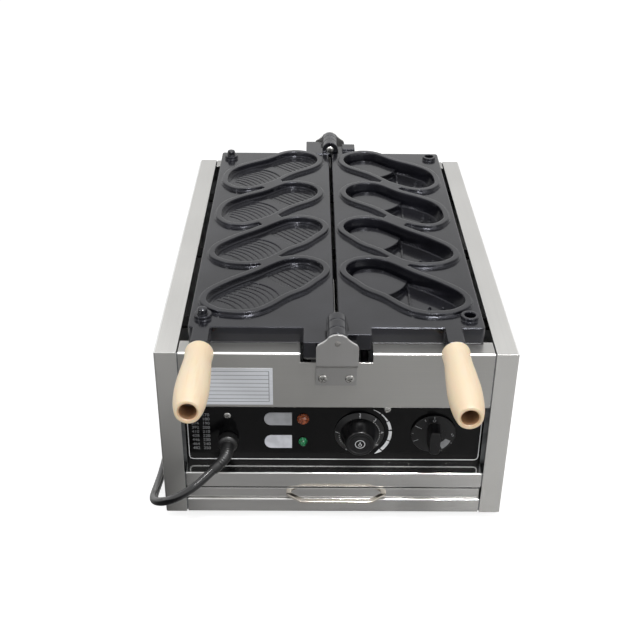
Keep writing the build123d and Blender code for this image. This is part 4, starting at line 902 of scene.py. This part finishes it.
STEM_DEEP = 0.014
FACETS = 14


def jewel(radius, axes):
    """Stem behind the panel, bezel, and a dome of flat facets."""
    stem = radius - 0.0012
    shaft = [(0, -STEM_DEEP), (stem, -STEM_DEEP), (stem, 0)]
    bezel = [(radius, 0), (radius, 0.0014), (radius * 0.94, 0.002)]
    dome = [(radius * 0.88, 0.0022), (radius * 0.76, 0.0040), (radius * 0.52, 0.0054), (0, 0.0060)]
    return placed(turned(shaft + bezel + dome, FACETS), axes)


for name, colour, radius, deep, bright in (
    ("work_lamp", "orange_lens", 0.0064, tone(96, 40, 12), tone(178, 84, 34)),
    ("power_lamp", "green_lens", 0.0048, tone(8, 74, 42), tone(36, 158, 98)),
):
    lamp_low, lamp_high = casing_box(name)
    lamp_axes = facing((lamp_low.x + lamp_high.x) / 2, FACE_Y, (lamp_low.z + lamp_high.z) / 2)
    lens_finish = finish(colour, tinted_jewel, deep, bright)
    piece(f"{name}_jewel", [jewel(radius, lamp_axes)], lens_finish, "casing", [name], crease=8)


# Temperature dial: a sloping skirt with figures and dots, and a fluted cap with a ring sign on its face.
def moulded_black(start):
    """Black moulded plastic: fine grain, rubbed a little brighter in places."""
    grain = start.noise(1800, 2.0, 0.5)
    rubbed = start.noise(45, 2.0, 0.5)
    return {
        "Base Color": rubbed.between(0.35, 0.8).mix(tone(8, 8, 10), tone(16, 16, 18)),
        "Roughness": rubbed * 0.14 + 0.22,
        "Specular IOR Level": 0.4,
        "Normal": start.rounded(0.0006, grain, 0.00002),
    }


black_plastic = finish("black_plastic", moulded_black)
dial_low, dial_high = casing_box("temperature_knob")
DIAL_BACK = dial_high.y
DIAL_DEEP = dial_high.y - dial_low.y
SKIRT_R = 0.026
SKIRT_EDGE = 0.0010
SKIRT_TOP = 0.0034
CAP_R = 0.0204
CAP_FACE_R = 0.0145
SHAFT_R = 0.003
SHAFT_DEEP = 0.0168
FLUTES = 8


def cap_swell(h, a):
    """Eight shallow finger flutes, deepest half way up the cap."""
    height = np.clip((h - SKIRT_TOP) / (DIAL_DEEP - SKIRT_TOP), 0, 1)
    return 1 - 0.05 * np.sin(np.pi * height) ** 2 * (0.5 + 0.5 * np.cos(FLUTES * a)) ** 2


FACE_RECESS = 0.0007
FACE_BOSS = 0.0002

hole = [(0, SHAFT_DEEP), (SHAFT_R, SHAFT_DEEP), (SHAFT_R, 0)]
skirt = soften([(SHAFT_R, 0), (SKIRT_R, 0), (SKIRT_R, SKIRT_EDGE), (CAP_R + 0.0002, SKIRT_TOP)], 0.0004, 4)
cap_side = np.linspace((CAP_R, SKIRT_TOP + 0.0001), (CAP_FACE_R + 0.0006, DIAL_DEEP - 0.0014), 20)
cap_face = soften(
    [
        cap_side[-1],
        (CAP_FACE_R, DIAL_DEEP),
        (CAP_FACE_R - 0.0022, DIAL_DEEP),
        (CAP_FACE_R - 0.0030, DIAL_DEEP - FACE_RECESS),
        (0.0078, DIAL_DEEP - FACE_RECESS),
        (0.0072, DIAL_DEEP - FACE_BOSS),
        (0, DIAL_DEEP - FACE_BOSS),
    ],
    (0.0012, 0.0003, 0.0003, 0.0002, 0.0002),
    5,
)
dial_axes = facing(DIAL_X, DIAL_BACK, DIAL_Z)
dial = [placed(turned([*hole, *skirt[1:], *cap_side, *cap_face[1:]], 128, cap_swell), dial_axes)]
piece("temperature_dial", dial, black_plastic, "temperature_control", ["temperature_knob"])

FIGURE_R = 0.0236
FIGURE_ANGLES = (176, 90, 48, 4, -38, -80, -122)
DOTS_FROM = (48, 4, -38, -80, 220)
DOTS_BETWEEN = 5
DOTS_SWEEP = 42
DOTS_R = CAP_R + 0.0008


def on_skirt(shape, angle, radius):
    """A flat figure laid on the skirt's slope at an angle round the dial, its foot to the middle."""
    slope = math.atan2(SKIRT_TOP - SKIRT_EDGE, SKIRT_R - CAP_R)
    height = SKIRT_TOP - (radius - CAP_R) * math.tan(slope) + 0.00012
    lean = Matrix.Translation((0, radius, height)) @ Matrix.Rotation(-slope, 4, "X")
    return placed(placed(shape, lean), dial_axes @ spun(angle - 90))


dot = slab(arc(0.00042, 0, 345, 12), 0.00003)
marks = []
for number, angle in enumerate(FIGURE_ANGLES):
    marks.append(on_skirt(glyphs(str(number + 1), 0.0048), angle, FIGURE_R))
    marks.append(on_skirt(dot, angle, DOTS_R))
for angle in DOTS_FROM:
    for i in range(1, DOTS_BETWEEN + 1):
        marks.append(on_skirt(dot, angle - i * DOTS_SWEEP / (DOTS_BETWEEN + 1), DOTS_R))
piece("dial_figures", marks, white_ink, "temperature_control")

sign_axes = facing(DIAL_X, DIAL_BACK - DIAL_DEEP + 0.0001, DIAL_Z)
sign = [
    band(arc(0.0049, 0, 354, 60), 0.0007, ring=True),
    band(arc(0.0015, 0, 345, 24, (0, -0.0010)), 0.0006, ring=True),
    band([(0, 0.0006), (0, 0.0028)], (0.0011, 0.0005)),
]
piece("dial_sign", [placed(s, sign_axes) for s in sign], white_ink, "temperature_control")


# Timer: a flat disc with ticks and a grey wedge, and a tapered bar to grip.
timer_low, timer_high = casing_box("timer_knob")
TIMER_X = 0.1035
TIMER_BACK = timer_high.y
TIMER_DEEP = timer_high.y - timer_low.y
DISC_R = 0.0234
DISC_T = 0.0026
GRIP_BASE = (0.0136, 0.0290)
GRIP_FACE = (0.0112, 0.0275)
GRIP_SQUARE = 5.0
GRIP_ROUND = 0.0012


def timer_grip():
    """Rings of |x / w|^n + |y / l|^n = 1, narrowing from the disc to the face, whose edge is rounded."""
    rise = np.linspace(0, 1, 12)[:, None]
    size = np.array(GRIP_BASE) + (np.array(GRIP_FACE) - np.array(GRIP_BASE)) * rise**1.15
    height = DISC_T / 2 + (TIMER_DEEP - DISC_T / 2 - GRIP_ROUND) * rise[:, 0]
    edge = np.linspace(0, np.pi / 2, 6)[1:]
    shrink = 1 - 2 * GRIP_ROUND * (1 - np.cos(edge))[:, None] / size[-1]
    size = np.concatenate((size, size[-1] * shrink, size[-1:] * 0.0))
    height = np.concatenate((height, height[-1] + GRIP_ROUND * np.sin(edge), [TIMER_DEEP]))
    a = around(72)
    x = size[:, :1] / 2 * np.sign(np.cos(a)) * np.abs(np.cos(a)) ** (2 / GRIP_SQUARE)
    y = size[:, 1:] / 2 * np.sign(np.sin(a)) * np.abs(np.sin(a)) ** (2 / GRIP_SQUARE)
    return net(np.stack((x, y, height[:, None] + 0 * a), -1), ring=True)


disc = soften([(0, 0), (DISC_R, 0), (DISC_R, DISC_T), (0, DISC_T)], 0.0005, 4)
timer_axes = facing(TIMER_X, TIMER_BACK, DIAL_Z)
timer = [placed(turned(disc, 96), timer_axes), placed(timer_grip(), timer_axes)]
piece("timer_dial", timer, black_plastic, "timer_control", ["timer_knob"])

TICKS = [
    (118, 0.0186, 0.0212),
    (151, 0.0146, 0.0222),
    (177, 0.0210, 0.0228),
    (204, 0.0170, 0.0226),
    (90, 0.0200, 0.0224),
    (-30, 0.0217, 0.0229),
]
tick_axes = facing(TIMER_X, TIMER_BACK - DISC_T - 0.0001, DIAL_Z)
ticks = []
for angle, inner, outer in TICKS:
    tick = band(np.linspace((inner, 0), (outer, 0), 2), 0.0007)
    ticks.append(placed(tick, tick_axes @ spun(angle)))
ticks.append(placed(band(arc(0.0014, 0, 345, 24, (0, 0.0174)), 0.0006, ring=True), tick_axes))
beside_wedge = Matrix.Translation((0.0200, -0.0010, 0)) @ spun(25)
ticks.append(placed(glyphs("5", 0.0058), tick_axes @ beside_wedge))
piece("timer_ticks", ticks, grey_ink, "timer_control")
wedge = band(arc(0.0172, -24, -62), np.linspace(0.0060, 0.0085, 16))
piece("timer_wedge", [placed(wedge, tick_axes)], grey_ink, "timer_control")


# Switch bodies, terminal block and wires behind the panel, where an open drawer bay lets one look in.
def moulded(start, colour, grain_scale=1500, roughness=0.5):
    """Matt mouldings: speckled grain and a soft uneven tone."""
    grain = start.noise(grain_scale, 2.0, 0.6)
    cloud = start.noise(50, 2.0, 0.5)
    return {
        "Base Color": (cloud * 0.7 + grain * 0.3).between(0.3, 0.7).mix(shade(colour, 0.8), colour),
        "Roughness": grain * 0.1 + roughness,
        "Normal": start.rounded(0.0005, grain, 0.00002),
    }


coat(finish("switch_moulding", moulded, tone(222, 218, 205)), "thermostat_body", "timer_body")
coat(finish("glazed_ceramic", moulded, tone(238, 236, 226), 600, 0.22), "terminal_block")
coat(finish("red_sleeving", moulded, tone(170, 48, 40), 2200, 0.55), "control_wires")


# Rating plate: bare thin aluminium with ruled lines and a double frame at its right edge.
label_low, label_high = casing_box("rating_plate")
LABEL_PITCH = 0.0047
LABEL_FRAME = 0.0042


def rating_plate(start):
    """Rows ruled across the plate, less a frame at the right, on pale blue-grey metal."""
    height = start.axis("Z") - CASING_ORIGIN.z
    to_right = label_high.x - start.axis("X")
    to_top = label_high.z - height
    to_low = height - label_low.z
    saw = start.math("FRACT", (to_low - LABEL_FRAME / 2) * (1 / LABEL_PITCH))
    ruled = saw.between(0.0, 0.04) - saw.between(0.10, 0.16)
    margin = start.math("MINIMUM", to_right, start.math("MINIMUM", to_top, to_low))
    inside = margin.between(LABEL_FRAME - 0.0002, LABEL_FRAME)
    frame_line = margin.between(LABEL_FRAME - 0.0008, LABEL_FRAME - 0.0005) - inside
    ink = start.math("MAXIMUM", ruled * inside, frame_line)
    brushed = start.noise(1.0, 2.0, 0.6, (12, 900, 900))
    bare = brushed.between(0.2, 0.8).mix(tone(222, 225, 231), tone(236, 239, 245))
    return {
        "Base Color": (ink * 0.85).mix(bare, tone(60, 62, 70)),
        "Metallic": 0.1,
        "Roughness": brushed * 0.1 + 0.3,
        "Normal": start.rounded(0.0002, brushed, 0.00001),
    }


coat(finish("rating_plate", rating_plate), "rating_plate")


# Drawer pull: a flat bail of polished strip, riveted to the drawer's front.
pull_metal = finish("polished_pull", bright_metal, tone(214, 208, 198), 0.12, 0.04)
coat(pull_metal, "drawer_pull")


# Cord, gland, plug and feet are black rubber: smooth and glossy on the cord, duller elsewhere. The plug's
# pins are brass.
def rubber(start, colour, roughness, shine=0.0):
    """Moulded rubber: faint mottling and a fine grain, under a sheen for a new cord."""
    grain = start.noise(2500, 2.0, 0.5)
    cloud = start.noise(60, 2.0, 0.5)
    return {
        "Base Color": cloud.between(0.3, 0.75).mix(colour, shade(colour, 1.35)),
        "Roughness": cloud * 0.14 + (roughness - 0.07),
        "Coat Weight": shine,
        "Coat Roughness": 0.06,
        "Normal": start.rounded(0.0005, grain, 0.00001),
    }


cord_rubber = finish("cord_rubber", rubber, tone(11, 11, 13), 0.1, 1.0)
dull_rubber = finish("dull_rubber", rubber, tone(24, 24, 25), 0.55)
coat(dull_rubber, "rubber_feet")
coat(finish("plug_brass", bright_metal, tone(214, 184, 118), 0.2), "plug_pins")


# Power cord: from the gland round the left front corner, along the left wall and behind the rear corner,
# where the spare length lies in a coil. A round rubber lead with a moulded plug.
CORD_R = 0.0045
ON_GROUND = CORD_R - casing_low.z
CORD_ALOFT = [
    (-0.1245, -0.0200, 0.0730), (-0.1365, -0.0260, 0.0630), (-0.1495, -0.0295, 0.0530),
    (-0.1635, -0.0285, 0.0425), (-0.1770, -0.0220, 0.0320), (-0.1875, -0.0105, 0.0220),
    (-0.1938, 0.0050, 0.0120), (-0.1955, 0.0240, 0.0040), (-0.1950, 0.0480, -0.0025),
]
CORD_ALONG = [
    (-0.1935, 0.0760), (-0.1920, 0.1200), (-0.1915, 0.1800), (-0.1915, 0.2400), (-0.1905, 0.3020),
    (-0.1910, 0.3640), (-0.1920, 0.4240), (-0.1923, 0.4800), (-0.1910, 0.5260), (-0.1875, 0.5600),
]
CORD_ROUTE = CORD_ALOFT + [(x, y, ON_GROUND) for x, y in CORD_ALONG]
COIL_PITCH = 0.0097
COIL_INNER_R = 0.044
COIL_TURNS = 2.25
REVERSE_TURN = 1.25
COIL_TAIL = 0.046
COIL_POINTS = 16


def coil_points(last, before):
    """Spiral in, climb, spiral out on top. The radius grows by a pitch a turn from the reversing turn,
    about which the climb takes half a turn."""
    entry = (last - before).normalized()
    start = last + entry * 2 * CORD_R
    outer = COIL_INNER_R + COIL_PITCH * REVERSE_TURN
    inward = math.atan2(COIL_PITCH, 2 * math.pi * outer)
    first_angle = math.atan2(entry.y, entry.x) + math.pi / 2 + inward
    centre = np.array(start) - outer * np.array((math.cos(first_angle), math.sin(first_angle), 0))
    turn = np.arange(0, COIL_TURNS + 0.001, 1 / COIL_POINTS)
    radius = COIL_INNER_R + COIL_PITCH * np.abs(turn - REVERSE_TURN)
    climbed = np.clip((turn - REVERSE_TURN + 0.25) * 2, 0, 1)
    angle = first_angle - 2 * np.pi * turn
    height = COIL_PITCH * climbed * climbed * (3 - 2 * climbed)
    points = centre + np.stack((radius * np.cos(angle), radius * np.sin(angle), height), 1)
    end_x = COIL_PITCH * math.cos(angle[-1]) + 2 * math.pi * radius[-1] * math.sin(angle[-1])
    end_y = COIL_PITCH * math.sin(angle[-1]) - 2 * math.pi * radius[-1] * math.cos(angle[-1])
    leaving = Vector((end_x, end_y, 0)).normalized()
    return [Vector(p) for p in points] + [Vector(points[-1]) + leaving * COIL_TAIL], leaving


route = [in_frame(*p) for p in CORD_ROUTE]
coil, leaving = coil_points(route[-1], route[-2])
route += coil

PLUG_L = 0.050
PLUG_R = route[-1].z
RIBS_FROM = 0.026
RIBS_FADE = 0.004
RIBS_PITCH = 0.004


def plug_swell(h, a):
    """Shallow ribs round the grip, which fade out at both ends."""
    grip = np.clip((h - RIBS_FROM) / RIBS_FADE, 0, 1) * np.clip((PLUG_L - h) / RIBS_FADE - 1, 0, 1)
    return 1 - 0.05 * grip * (0.5 + 0.5 * np.cos(2 * np.pi * (h - RIBS_FROM) / RIBS_PITCH))


plug_profile = soften(
    [(0, 0), (0.0070, 0), (0.0080, 0.014), (PLUG_R, 0.023), (PLUG_R, PLUG_L), (0, PLUG_L)],
    (0.001, 0.004, 0.005, 0.002),
    8,
)
grip_run = np.linspace(plug_profile[-10], plug_profile[-9], 40)
plug_profile = np.concatenate((plug_profile[:-10], grip_run, plug_profile[-8:]))
plug_turn = leaving.to_track_quat("Z", "Y").to_matrix().to_4x4()
plug_axes = Matrix.Translation(route[-1] - CASING_ORIGIN) @ plug_turn
plug_shape = placed(turned(plug_profile, 56, plug_swell), plug_axes)
plug = piece("plug_grip", [plug_shape], dull_rubber, "casing", ["plug_body"])

line = bpy.data.curves.new("power_lead", "CURVE")
line.dimensions = "3D"
line.bevel_depth = CORD_R
line.bevel_resolution = 5
line.resolution_u = 6
line.use_fill_caps = True
spline = line.splines.new("NURBS")
spline.points.add(len(route) - 1)
spline.points.foreach_set("co", np.c_[np.array(route), np.ones(len(route))].ravel())
spline.order_u = 3
spline.use_endpoint_u = True
line.materials.append(cord_rubber)
lead = linked("power_lead", line)
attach(lead, "casing")
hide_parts("power_cord", "cord_coil")


# Strain relief on the panel: a domed nut with twelve flats, its stem and lock nut behind the panel, and a
# tapered ribbed sleeve that follows the cord's droop.
GLAND_X = -0.1115
GLAND_Z = 0.0840
GLAND_R = 0.0105
GLAND_L = 0.0124
GLAND_FLATS = 12
STEM_R = 0.006
SLEEVE_RADII = (0.0066, 0.0052)
SLEEVE_RIBS = 9
SLEEVE_RIB_H = 0.0004


def gland_swell(h, a):
    """Flats on the nut's wall only: the radius shrinks between the corners."""
    wall = np.clip((GLAND_L - 0.003 - h) / 0.002, 0, 1) * (h > -0.0001)
    return 1 - 0.035 * wall * (0.5 - 0.5 * np.cos(GLAND_FLATS * a))


nut = soften([(0, 0), (GLAND_R, 0), (GLAND_R, GLAND_L * 0.8), (0.0078, GLAND_L), (0, GLAND_L)], 0.0012, 6)
lock_nut = [(STEM_R, -0.007), (GLAND_R, -0.007), (GLAND_R, -0.002), (STEM_R, -0.002)]
stem = [(0, -0.012), (STEM_R, -0.012), *lock_nut, (STEM_R, 0.0), (0, 0.0)]
gland_axes = facing(GLAND_X, FACE_Y, GLAND_Z)
leaving_run = Vector(CORD_ROUTE[1]) - Vector(CORD_ROUTE[0])
droop = Vector(CORD_ROUTE[0]) + leaving_run * ((GLAND_X - CORD_ROUTE[0][0]) / leaving_run.x)
sleeve_line = [(GLAND_X, FACE_Y - GLAND_L + 0.001, GLAND_Z), (GLAND_X, droop.y, GLAND_Z), CORD_ROUTE[0]]
sleeve_path = soften(sleeve_line, 0.014, 44)
along_sleeve = np.linspace(0, 1, len(sleeve_path))
ribs = SLEEVE_RIB_H * (0.5 + 0.5 * np.cos(2 * np.pi * SLEEVE_RIBS * along_sleeve))
sleeve_radii = SLEEVE_RADII[0] + (SLEEVE_RADII[1] - SLEEVE_RADII[0]) * along_sleeve + ribs
gland_shapes = [
    placed(turned(nut, 96, gland_swell), gland_axes),
    placed(turned(stem, 64), gland_axes),
    tube(sleeve_path, sleeve_radii, 32),
]
gland_rubber = finish("gland_rubber", rubber, tone(8, 8, 9), 0.45)
piece("cord_gland", gland_shapes, gland_rubber, "casing", ["strain_relief"])
